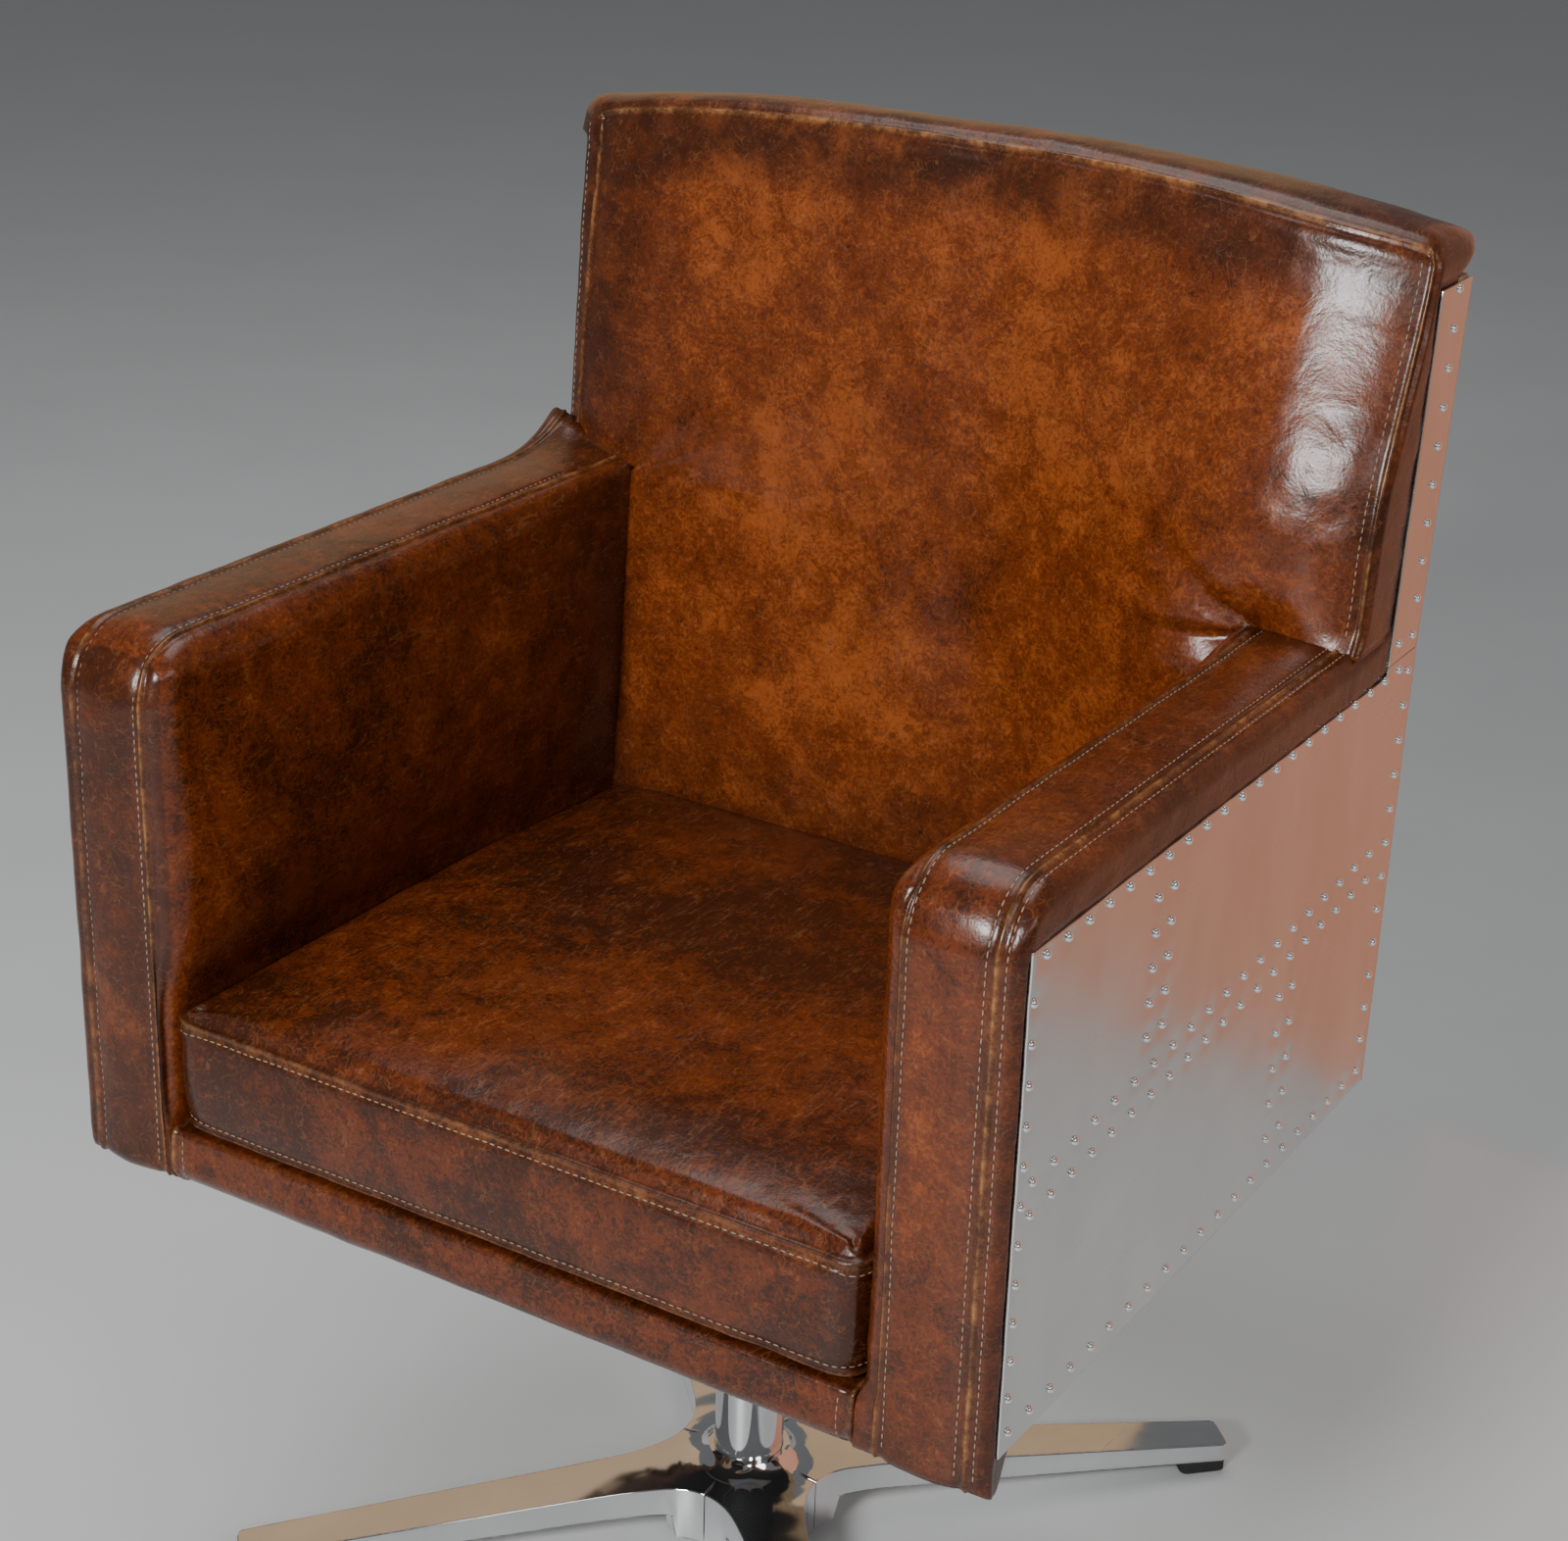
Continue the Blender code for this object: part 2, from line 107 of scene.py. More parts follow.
# ---------------------------------------------------------------- settings
class LeatherSettings(bpy.types.PropertyGroup):
    light: FloatVectorProperty(
        name="Light tone", description="Rubbed amber parts of the hide", subtype="COLOR",
        size=3, min=0.0, max=1.0, default=(0.275, 0.064, 0.0110))
    middle: FloatVectorProperty(
        name="Middle tone", description="Main brown of the hide", subtype="COLOR",
        size=3, min=0.0, max=1.0, default=(0.115, 0.0215, 0.0034))
    # The dark tone takes both the burnish by the seams and the painted shade in hollows and under
    # other parts.
    dark: FloatVectorProperty(
        name="Dark tone", description="Burnished edges and hollows", subtype="COLOR",
        size=3, min=0.0, max=1.0, default=(0.034, 0.0080, 0.0022))
    thread: FloatVectorProperty(
        name="Thread", description="Sewing thread", subtype="COLOR",
        size=3, min=0.0, max=1.0, default=(0.27, 0.195, 0.135))
    stitch_pitch: FloatProperty(
        name="Stitch pitch", description="Distance from stitch to stitch", unit="LENGTH",
        default=0.0056, min=0.002, max=0.02)
    seam_height: FloatProperty(
        name="Seam height", description="How far the folded seam stands up", unit="LENGTH",
        default=0.0014, min=0.0, max=0.005)


class MetalSettings(bpy.types.PropertyGroup):
    sheet: FloatVectorProperty(
        name="Sheet tone", description="Satin sheet metal", subtype="COLOR",
        size=3, min=0.0, max=1.0, default=(0.58, 0.60, 0.59))
    chrome: FloatVectorProperty(
        name="Polished tone", description="Polished base and column", subtype="COLOR",
        size=3, min=0.0, max=1.0, default=(0.78, 0.78, 0.79))
    rivet_pitch: FloatProperty(
        name="Rivet pitch", description="Distance from rivet to rivet", unit="LENGTH",
        default=0.0250, min=0.01, max=0.1)
    rivet_radius: FloatProperty(
        name="Rivet radius", description="Radius of a domed rivet head", unit="LENGTH",
        default=0.0030, min=0.001, max=0.01)
    dent: FloatProperty(
        name="Dents", description="Depth of the hand-made waves in the sheet", unit="LENGTH",
        default=0.0005, min=0.0, max=0.003)


class StageSettings(bpy.types.PropertyGroup):
    floor: FloatVectorProperty(
        name="Floor tone", description="Plain pale floor", subtype="COLOR",
        size=3, min=0.0, max=1.0, default=(0.62, 0.63, 0.63))
    lens: FloatProperty(
        name="Lens", description="Focal length in millimetres on a 36 mm wide sensor",
        default=67.98, min=10.0, max=200.0)


def leather():
    return bpy.context.scene.tub_leather


def metal():
    return bpy.context.scene.tub_metal


# ---------------------------------------------------------------- node groups and materials
def new_group(name, inputs, outputs):
    group = bpy.data.node_groups.new(name, "ShaderNodeTree")
    for label, kind, value in inputs:
        socket = group.interface.new_socket(label, in_out="INPUT", socket_type=kind)
        socket.default_value = value
    for label, kind in outputs:
        group.interface.new_socket(label, in_out="OUTPUT", socket_type=kind)
    return group


class Graph:
    """Short names for adding and linking shader nodes."""

    def __init__(self, tree):
        self.tree = tree

    def node(self, kind, **values):
        made = self.tree.nodes.new("ShaderNode" + kind if not kind.startswith("Node") else kind)
        for key, value in values.items():
            setattr(made, key, value)
        return made

    def link(self, out, into):
        self.tree.links.new(out, into)

    def math(self, operation, a, b=0.0, c=None, clamp=False):
        made = self.node("Math", operation=operation, use_clamp=clamp)
        for slot, value in enumerate((a, b) if c is None else (a, b, c)):
            if isinstance(value, bpy.types.NodeSocket):
                self.link(value, made.inputs[slot])
            else:
                made.inputs[slot].default_value = value
        return made.outputs[0]

    def group(self, name, vector):
        made = self.node("Group")
        made.node_tree = bpy.data.node_groups[name]
        self.link(vector, made.inputs["Vector"])
        return made

    def noise(self, vector, scale, detail=4.0, rough=0.5, distort=0.0):
        made = self.node("TexNoise")
        made.inputs["Scale"].default_value = scale
        made.inputs["Detail"].default_value = detail
        made.inputs["Roughness"].default_value = rough
        made.inputs["Distortion"].default_value = distort
        self.link(vector, made.inputs["Vector"])
        return made

    def voronoi(self, vector, scale, feature):
        made = self.node("TexVoronoi", feature=feature)
        made.inputs["Scale"].default_value = scale
        self.link(vector, made.inputs["Vector"])
        return made

    def fit(self, value, low, high, to_low=0.0, to_high=1.0, kind="SMOOTHSTEP"):
        made = self.node("MapRange", interpolation_type=kind)
        self.link(value, made.inputs["Value"])
        for name, number in (("From Min", low), ("From Max", high), ("To Min", to_low),
                             ("To Max", to_high)):
            made.inputs[name].default_value = number
        return made.outputs["Result"]

    def mix(self, share, a, b, kind="MIX"):
        made = self.node("Mix", data_type="RGBA", blend_type=kind)
        for value, name in ((share, "Factor_Float"), (a, "A_Color"), (b, "B_Color")):
            socket = next(s for s in made.inputs if s.identifier == name)
            if isinstance(value, bpy.types.NodeSocket):
                self.link(value, socket)
            elif isinstance(value, (int, float)):
                socket.default_value = value
            else:
                socket.default_value = (value[0], value[1], value[2], 1.0)
        return next(s for s in made.outputs if s.identifier == "Result_Color")

    def bump(self, height, strength, distance, normal=None):
        made = self.node("Bump")
        made.inputs["Strength"].default_value = strength
        made.inputs["Distance"].default_value = distance
        self.link(height, made.inputs["Height"])
        if normal is not None:
            self.link(normal, made.inputs["Normal"])
        return made.outputs[0]

    def stretched(self, vector, scale, turn=(0.0, 0.0, 0.0), shift=(0.0, 0.0, 0.0)):
        made = self.node("Mapping")
        made.inputs["Scale"].default_value = scale
        made.inputs["Rotation"].default_value = turn
        made.inputs["Location"].default_value = shift
        self.link(vector, made.inputs["Vector"])
        return made.outputs[0]


def hair_scuff_group():
    """Fine pale hair-like scuffs, bunched in patches."""
    group = new_group("Hair Scuffs", [("Vector", "NodeSocketVector", (0, 0, 0)),
                                      ("Amount", "NodeSocketFloat", 1.0)],
                      [("Mask", "NodeSocketFloat")])
    g = Graph(group)
    source = g.node("NodeGroupInput")
    sink = g.node("NodeGroupOutput")
    total = None
    for scale, turn, shift in ((78.0, 0.3, 1.7), (96.0, 1.1, 5.1), (118.0, 1.9, 9.4),
                               (104.0, 2.6, 3.3), (140.0, 0.7, 6.2)):
        turned = g.stretched(source.outputs["Vector"], (1.0, 0.17, 1.0),
                             (turn, turn * 0.7, turn * 1.9), (shift, shift * 0.6, 0.0))
        waves = g.noise(turned, scale, 1.5, 0.45, 0.35).outputs["Fac"]
        away = g.math("ABSOLUTE", g.math("SUBTRACT", waves, 0.5))
        line = g.fit(away, 0.0, scale * 0.00016, 1.0, 0.0)
        patch = g.noise(g.stretched(source.outputs["Vector"], (1, 1, 1), (0, 0, 0),
                                    (shift, 2.0, shift)), 24.0 + scale * 0.25, 4.0, 0.70)
        part = g.math("MULTIPLY", line, g.fit(patch.outputs["Fac"], 0.47, 0.62))
        total = part if total is None else g.math("MAXIMUM", total, part)
    g.link(g.math("MULTIPLY", total, source.outputs["Amount"]), sink.inputs["Mask"])
    return group


def hide_group():
    """Waxed hide: mottled colour, roughness and height; darker by the seams (burnish) and in
    hollows and under other parts (painted shade).
    """
    group = new_group("Waxed Hide", [
        ("Vector", "NodeSocketVector", (0, 0, 0)),
        ("Light", "NodeSocketColor", (0.3, 0.1, 0.02, 1)),
        ("Middle", "NodeSocketColor", (0.15, 0.04, 0.01, 1)),
        ("Dark", "NodeSocketColor", (0.03, 0.01, 0.003, 1)),
        ("Burnish_And_Shade", "NodeSocketFloat", 0.0),
        ("Rubbed", "NodeSocketFloat", 0.0),
        ("Tone", "NodeSocketFloat", 0.0)],
        [("Color", "NodeSocketColor"), ("Roughness", "NodeSocketFloat"),
         ("Height", "NodeSocketFloat"), ("Fine", "NodeSocketFloat")])
    g = Graph(group)
    source = g.node("NodeGroupInput")
    sink = g.node("NodeGroupOutput")
    vector = source.outputs["Vector"]
    cloud = g.noise(vector, 5.5, 5.0, 0.62, 0.3).outputs["Fac"]
    blotch = g.noise(vector, 34.0, 8.0, 0.66, 0.4).outputs["Fac"]
    speck = g.noise(vector, 150.0, 6.0, 0.74, 0.3).outputs["Fac"]
    grain_tone = g.noise(vector, 420.0, 3.0, 0.6).outputs["Fac"]
    fibre = g.noise(vector, 150.0, 4.0, 0.62, 2.6).outputs["Fac"]
    mixed = g.math("MULTIPLY_ADD", cloud, 0.68, g.math("MULTIPLY", blotch, 0.58))
    mixed = g.math("MULTIPLY_ADD", speck, 0.30, mixed)
    mixed = g.math("MULTIPLY_ADD", fibre, 0.69, mixed)
    mixed = g.math("MULTIPLY_ADD", grain_tone, 0.15, mixed)
    mixed = g.math("ADD", mixed, source.outputs["Tone"])
    level = g.fit(mixed, 0.96, 1.47, kind="LINEAR")
    lower = g.mix(g.fit(level, 0.0, 0.45), source.outputs["Dark"], source.outputs["Middle"])
    color = g.mix(g.fit(level, 0.40, 1.0), lower, source.outputs["Light"])
    # Burnish by the seams and painted shade in hollows, at bottoms and under other parts, both
    # pulled toward the dark tone.
    burnish_and_shade = g.math("MULTIPLY", source.outputs["Burnish_And_Shade"],
                     g.fit(blotch, 0.25, 0.62, 1.15, 0.55, "LINEAR"), clamp=True)
    color = g.mix(burnish_and_shade, color, source.outputs["Dark"])
    scuffs = g.group("Hair Scuffs", vector)
    scuffs.inputs["Amount"].default_value = 0.19
    scuff = scuffs.outputs["Mask"]
    color = g.mix(scuff, color, (0.38, 0.150, 0.050))
    rubbed = g.math("MULTIPLY", source.outputs["Rubbed"],
                    g.math("MULTIPLY", g.fit(speck, 0.40, 0.60, 0.25, 1.0),
                           g.fit(blotch, 0.38, 0.60, 0.15, 0.9)))
    color = g.mix(rubbed, color, (0.36, 0.165, 0.055))
    g.link(color, sink.inputs["Color"])
    rough = g.math("MULTIPLY_ADD", blotch, 0.14, 0.155)
    rough = g.math("MULTIPLY_ADD", speck, 0.10, rough)
    rough = g.math("MULTIPLY_ADD", scuff, 0.22, rough)
    g.link(rough, sink.inputs["Roughness"])
    warp = g.noise(vector, 30.0, 3.0, 0.5)
    bent = g.node("VectorMath", operation="MULTIPLY_ADD")
    g.link(warp.outputs["Color"], bent.inputs[0])
    bent.inputs[1].default_value = (0.02, 0.02, 0.02)
    g.link(vector, bent.inputs[2])
    pebble = g.voronoi(bent.outputs[0], 520.0, "SMOOTH_F1").outputs["Distance"]
    folds = g.noise(vector, 46.0, 4.0, 0.55, 0.6).outputs["Fac"]
    height = g.math("MULTIPLY", folds, 0.9)
    height = g.math("MULTIPLY_ADD", scuff, -0.03, height)
    g.link(height, sink.inputs["Height"])
    fine = g.math("MULTIPLY_ADD", grain_tone, 0.5, g.math("MULTIPLY", pebble, 0.6))
    g.link(fine, sink.inputs["Fine"])
    return group


def surface(name):
    made = bpy.data.materials.new(name)
    made.use_nodes = True
    graph = Graph(made.node_tree)
    shader = made.node_tree.nodes["Principled BSDF"]
    coords = graph.node("TexCoord").outputs["Object"]
    return made, graph, shader, coords


def leather_material(name, tone, shift):
    made, g, shader, coords = surface(name)
    tones = leather()
    hide = g.group("Waxed Hide", g.stretched(coords, (1, 1, 1), (0, 0, 0), shift))
    for label, value in (("Light", tones.light), ("Middle", tones.middle), ("Dark", tones.dark)):
        hide.inputs[label].default_value = (value[0], value[1], value[2], 1.0)
    hide.inputs["Tone"].default_value = tone
    # Painted masks: burnish together with painted shade, and rubbed wear by the seams.
    for label in ("Burnish_And_Shade", "Rubbed"):
        painted = g.node("Attribute", attribute_name=label.lower())
        g.link(painted.outputs["Fac"], hide.inputs[label])
    g.link(hide.outputs["Color"], shader.inputs["Base Color"])
    g.link(hide.outputs["Roughness"], shader.inputs["Roughness"])
    broad = g.bump(hide.outputs["Height"], 0.36, 0.0020)
    g.link(g.bump(hide.outputs["Fine"], 0.30, 0.00035, broad), shader.inputs["Normal"])
    shader.inputs["Specular IOR Level"].default_value = 0.41
    return made


def smudge_group():
    """Handling marks on metal: soft cloudy smears and long fine scratches."""
    group = new_group("Metal Smears", [("Vector", "NodeSocketVector", (0, 0, 0)),
                                       ("Scratch", "NodeSocketFloat", 1.0)],
                      [("Cloud", "NodeSocketFloat"), ("Line", "NodeSocketFloat")])
    g = Graph(group)
    source = g.node("NodeGroupInput")
    sink = g.node("NodeGroupOutput")
    vector = source.outputs["Vector"]
    cloud = g.noise(g.stretched(vector, (1, 1, 0.45)), 11.0, 5.0, 0.6, 0.4).outputs["Fac"]
    g.link(cloud, sink.inputs["Cloud"])
    total = None
    for turn, scale in ((0.15, 210.0), (0.9, 260.0), (-0.7, 240.0)):
        turned = g.stretched(vector, (1.0, 0.035, 1.0), (turn, 0.0, 0.0))
        line = g.noise(turned, scale, 2.0, 0.5).outputs["Fac"]
        part = g.fit(line, 0.70, 0.78)
        total = part if total is None else g.math("MAXIMUM", total, part)
    g.link(g.math("MULTIPLY", total, source.outputs["Scratch"]), sink.inputs["Line"])
    return group


def metal_material(name, color, rough, spread, scratch, bump):
    made, g, shader, coords = surface(name)
    smears = g.group("Metal Smears", coords)
    smears.inputs["Scratch"].default_value = scratch
    shade = g.fit(smears.outputs["Cloud"], 0.25, 0.75, 0.86, 1.06, "LINEAR")
    tinted = g.node("VectorMath", operation="SCALE")
    tinted.inputs[0].default_value = tuple(color)[:3]
    g.link(shade, tinted.inputs["Scale"])
    g.link(tinted.outputs[0], shader.inputs["Base Color"])
    value = g.math("MULTIPLY_ADD", smears.outputs["Cloud"], spread, rough)
    value = g.math("MULTIPLY_ADD", smears.outputs["Line"], 0.10, value)
    g.link(value, shader.inputs["Roughness"])
    shader.inputs["Metallic"].default_value = 1.0
    lines = g.math("MULTIPLY", smears.outputs["Line"], -1.0)
    g.link(g.bump(lines, bump, 0.0002), shader.inputs["Normal"])
    return made


def plain_material(name, color, rough, speck, scale, bump=0.2):
    made, g, shader, coords = surface(name)
    grain = g.noise(coords, scale, 5.0, 0.6, 0.2).outputs["Fac"]
    broad = g.noise(coords, scale * 0.08, 3.0, 0.6).outputs["Fac"]
    level = g.math("MULTIPLY_ADD", broad, 0.5, g.math("MULTIPLY", grain, 0.5))
    low = [channel * (1.0 - speck) for channel in color]
    high = [min(1.0, channel * (1.0 + speck)) for channel in color]
    g.link(g.mix(g.fit(level, 0.3, 0.7), low, high), shader.inputs["Base Color"])
    g.link(g.math("MULTIPLY_ADD", grain, 0.2, rough - 0.1), shader.inputs["Roughness"])
    g.link(g.bump(grain, bump, 0.0004), shader.inputs["Normal"])
    return made


def wood_material(name):
    made, g, shader, coords = surface(name)
    streak = g.noise(g.stretched(coords, (1.0, 0.12, 1.0)), 60.0, 5.0, 0.6, 0.8).outputs["Fac"]
    ply = g.node("TexWave", wave_type="BANDS", bands_direction="DIAGONAL")
    ply.inputs["Scale"].default_value = 45.0
    ply.inputs["Distortion"].default_value = 3.0
    g.link(coords, ply.inputs["Vector"])
    level = g.math("MULTIPLY_ADD", ply.outputs["Fac"], 0.3, g.math("MULTIPLY", streak, 0.8))
    g.link(g.mix(g.fit(level, 0.3, 0.8), (0.42, 0.27, 0.14), (0.60, 0.44, 0.27)),
           shader.inputs["Base Color"])
    g.link(g.math("MULTIPLY_ADD", streak, 0.2, 0.55), shader.inputs["Roughness"])
    g.link(g.bump(streak, 0.3, 0.0005), shader.inputs["Normal"])
    return made


# ---------------------------------------------------------------- shaping helpers
def stations(low, high, coarse, dense=()):
    """Places from low to high, coarse apart, and finer round each (place, reach, fine)."""
    places = [low]
    while places[-1] < high - 1e-9:
        here = places[-1]
        step = coarse
        for place, reach, fine in dense:
            away = abs(here - place)
            if away < reach + 1e-9:
                step = min(step, fine)
            elif here < place:
                step = min(step, max(fine, place - reach - here))
            else:
                step = min(step, fine + (away - reach) * 0.6)
        places.append(here + step)
    places = np.array(places)
    return low + (places - low) * (high - low) / (places[-1] - low)


def coordinates(bm):
    return np.array([vert.co for vert in bm.verts], float)


def put_back(bm, co):
    for vert, place in zip(bm.verts, co):
        vert.co = place


def face_outward(bm):
    bmesh.ops.recalc_face_normals(bm, faces=bm.faces)


def bevel(bm, edges, width, segments):
    bmesh.ops.bevel(bm, geom=edges, offset=width, affect="EDGES", segments=segments,
                    profile=0.5, material=-1)


def block(xs, ys, zs):
    """A box cut into a grid at the given places along each axis."""
    bm = bmesh.new()
    bmesh.ops.create_cube(bm, size=1.0)
    for axis, places in enumerate((xs, ys, zs)):
        edges = [edge for edge in bm.edges
                 if abs(edge.verts[0].co[axis] - edge.verts[1].co[axis]) > 1e-4]
        bmesh.ops.subdivide_edges(bm, edges=edges, cuts=len(places) - 2, use_grid_fill=True)
    co = coordinates(bm)
    for axis, places in enumerate((xs, ys, zs)):
        index = np.rint((co[:, axis] + 0.5) * (len(places) - 1)).astype(int)
        co[:, axis] = np.asarray(places)[index]
    put_back(bm, co)
    return bm


def slab(xs, zs, levels, keep):
    """A plate in X and Z with thickness levels along +Y; keep(x, z) says which cells stay."""
    bm = bmesh.new()
    bmesh.ops.create_grid(bm, x_segments=len(xs) - 1, y_segments=len(zs) - 1, size=0.5)
    flat = coordinates(bm)
    column = np.rint((flat[:, 0] + 0.5) * (len(xs) - 1)).astype(int)
    row = np.rint((flat[:, 1] + 0.5) * (len(zs) - 1)).astype(int)
    placed = np.zeros_like(flat)
    placed[:, 0] = np.asarray(xs)[column]
    placed[:, 2] = np.asarray(zs)[row]
    put_back(bm, placed)
    out = [face for face in bm.faces
           if not keep(face.calc_center_median().x, face.calc_center_median().z)]
    bmesh.ops.delete(bm, geom=out, context="FACES")
    made = bmesh.ops.extrude_face_region(bm, geom=bm.faces[:])
    moved = [item for item in made["geom"] if isinstance(item, bmesh.types.BMVert)]
    bmesh.ops.translate(bm, verts=moved, vec=(0, 1, 0))
    if len(levels) > 2:
        through = [edge for edge in bm.edges
                   if abs(edge.verts[0].co.y - edge.verts[1].co.y) > 0.5]
        bmesh.ops.subdivide_edges(bm, edges=through, cuts=len(levels) - 2, use_grid_fill=True)
    co = coordinates(bm)
    index = np.rint(co[:, 1] * (len(levels) - 1)).astype(int)
    co[:, 1] = np.asarray(levels)[index]
    put_back(bm, co)
    face_outward(bm)
    return bm


def round_edge(co, first, second, radius, where=None):
    """Rounds the edge of two planes; a plane is (axis, place, side it faces)."""
    axis_a, place_a, face_a = first
    axis_b, place_b, face_b = second
    away_a = face_a * (place_a - co[:, axis_a])
    away_b = face_b * (place_b - co[:, axis_b])
    near = (away_a < radius) & (away_b < radius) & (away_a > -1e-4) & (away_b > -1e-4)
    if where is not None:
        near &= where
    s = 1.0 - np.clip(away_a[near] / radius, 0, 1)
    t = 1.0 - np.clip(away_b[near] / radius, 0, 1)
    co[near, axis_a] = place_a - face_a * radius * (1.0 - s * np.sqrt(1.0 - t * t / 2.0))
    co[near, axis_b] = place_b - face_b * radius * (1.0 - t * np.sqrt(1.0 - s * s / 2.0))


def hill(value, width):
    return np.exp(-(value / width) ** 2)


def ramp(value, low, high):
    share = np.clip((value - low) / (high - low), 0.0, 1.0)
    return share * share * (3.0 - 2.0 * share)


def drift(co, scale, seed, octaves=2):
    """Smooth random height at each point, about -1 to 1."""
    offset = Vector((seed * 3.17, seed * 1.31, seed * 7.77))
    return np.array([noise.fractal(Vector(p) * scale + offset, 1.0, 2.0, octaves) for p in co])


def crease(a, b, start, end, width, depth):
    """A fold from start to end in a plane with coordinates a and b: a valley with lifted sides."""
    run = np.array(end) - np.array(start)
    length = float(np.hypot(*run))
    along = ((a - start[0]) * run[0] + (b - start[1]) * run[1]) / (length * length)
    off = ((a - start[0]) * -run[1] + (b - start[1]) * run[0]) / length
    off = off + 0.25 * width * np.sin(along * 5.0 + depth * 900.0)
    strength = ramp(along, -0.12, 0.12) * (1.0 - ramp(along, 0.55, 1.10))
    spread = width * (0.6 + 0.9 * np.clip(along, 0, 1))
    return strength * depth * (0.85 * hill(np.abs(off) - 1.7 * spread, spread) - hill(off, spread))


def vertex_normals(bm):
    bm.normal_update()
    return np.array([vert.normal for vert in bm.verts], float)


def swell(bm, height):
    """Moves every point along its own normal by height."""
    co = coordinates(bm)
    put_back(bm, co + vertex_normals(bm) * height[:, None])


def paint(bm, name, values):
    layer = bm.verts.layers.float.new(name)
    for vert, value in zip(bm.verts, np.clip(values, 0, 1)):
        vert[layer] = float(value)


def piece(bm, name, body, material, smooth=True, sharp_angle=None):
    mesh = bpy.data.meshes.new(name)
    bm.to_mesh(mesh)
    bm.free()
    made = bpy.data.objects.new(name, mesh)
    bpy.context.scene.collection.objects.link(made)
    mesh.materials.append(material)
    if smooth:
        mesh.polygons.foreach_set("use_smooth", [True] * len(mesh.polygons))
    if sharp_angle is not None:
        mesh.set_sharp_from_angle(angle=math.radians(sharp_angle))
    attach(made, body)
    return made


def resample(path, pitch):
    """Points a pitch apart along a bent line."""
    path = np.array(path, float)
    lengths = np.linalg.norm(np.diff(path, axis=0), axis=1)
    reach = np.concatenate([[0.0], np.cumsum(lengths)])
    count = max(2, int(round(reach[-1] / pitch)) + 1)
    wanted = np.linspace(0.0, reach[-1], count)
    return np.stack([np.interp(wanted, reach, path[:, axis]) for axis in range(3)], axis=1)


class Sewing:
    """Gathers stitches laid on a leather piece along bent lines."""

    def __init__(self, bm):
        self.tree = BVHTree.FromBMesh(bm)
        template = bmesh.new()
        bmesh.ops.create_uvsphere(template, u_segments=6, v_segments=4, radius=1.0)
        self.mesh = bpy.data.meshes.new("one_stitch")
        template.to_mesh(self.mesh)
        template.free()
        self.shape = np.array([vert.co for vert in self.mesh.vertices], float)
        self.made = bmesh.new()

    def row(self, path, thick=0.00052, gap=0.0015, lift=0.00018):
        points = resample(path, leather().stitch_pitch)
        for start, end in zip(points[:-1], points[1:]):
            a, normal, _, _ = self.tree.find_nearest(Vector(start))
            b, _, _, _ = self.tree.find_nearest(Vector(end))
            if a is None or b is None or (b - a).length < gap * 1.5:
                continue
            along = (b - a).normalized()
            side = normal.cross(along).normalized()
            up = along.cross(side)
            half = (b - a).length / 2.0 - gap / 2.0
            turn = np.array([along, side, up], float).T
            size = np.array([half, thick, thick * 0.8])
            place = np.array((a + b) / 2.0 + normal * lift)
            co = (self.shape[:, [2, 0, 1]] * size) @ turn.T + place
            self.mesh.vertices.foreach_set("co", co.ravel())
            self.made.from_mesh(self.mesh)

    def finish(self, name, body, material):
        return piece(self.made, name, body, material)


def shared(name):
    return bpy.data.materials[name]


def rear_face(z):
    """Where the outer face of the rear sheet stands at height z."""
    z = np.asarray(z, float)
    return np.where(z < LAP, 0.2425 + (z - 0.366) * 0.0155, SHEET_REAR + (z - LAP) * 0.0926)


def band_front(z):
    """Front edge of the upper side strip."""
    z = np.asarray(z, float)
    return STEP_Y + np.clip(z - LAP, 0, None) * (0.2185 - STEP_Y) / (0.935 - LAP)


def give_way(y):
    """How much the left arm and the cushion give to each other, most at the front."""
    return 1 - ramp(y, 0.00, 0.13)


def seam_fold(away, height):
    """Height across a sewn seam: a raised fold with a soft valley on both sides."""
    return height * hill(away, 0.0013) - 0.0007 * hill(np.abs(away) - 0.0042, 0.0028)


# ---------------------------------------------------------------- operators
class BuildFinishes(bpy.types.Operator):
    """Make the node groups and materials of every finish"""
    bl_idname = "tub_chair.finishes"
    bl_label = "Finishes"

    def execute(self, context):
        hair_scuff_group()
        hide_group()
        smudge_group()
        tones = metal()
        # One hide in four copies, lighter or darker by their tone: the lighter back and the darker
        # seat, rail and arms are lit and shaded copies, painted light and shade.
        leather_material("back_hide", 0.03, (0.0, 0.0, 0.0))
        leather_material("seat_hide", -0.13, (3.1, 1.7, 0.4))
        leather_material("arm_hide", -0.045, (1.3, 4.2, 2.6))
        leather_material("rail_hide", -0.10, (5.3, 0.2, 3.9))
        plain_material("sewing_thread", leather().thread, 0.65, 0.25, 900.0)
        metal_material("satin_sheet", tones.sheet, 0.17, 0.14, 0.7, 0.10)
        metal_material("rivet_metal", (0.86, 0.86, 0.87), 0.17, 0.08, 0.0, 0.0)
        metal_material("polished_base", tones.chrome, 0.02, 0.10, 0.5, 0.05)
        metal_material("turned_steel", (0.36, 0.36, 0.37), 0.28, 0.15, 0.3, 0.10)
        plain_material("black_moulding", (0.02, 0.02, 0.021), 0.5, 0.3, 700.0)
        plain_material("soft_rubber", (0.022, 0.022, 0.023), 0.7, 0.3, 500.0)
        plain_material("pale_insert", (0.46, 0.45, 0.42), 0.5, 0.2, 500.0)
        plain_material("dust_cloth", (0.018, 0.018, 0.019), 0.9, 0.4, 900.0, bump=0.6)
        wood_material("frame_ply")
        return {"FINISHED"}


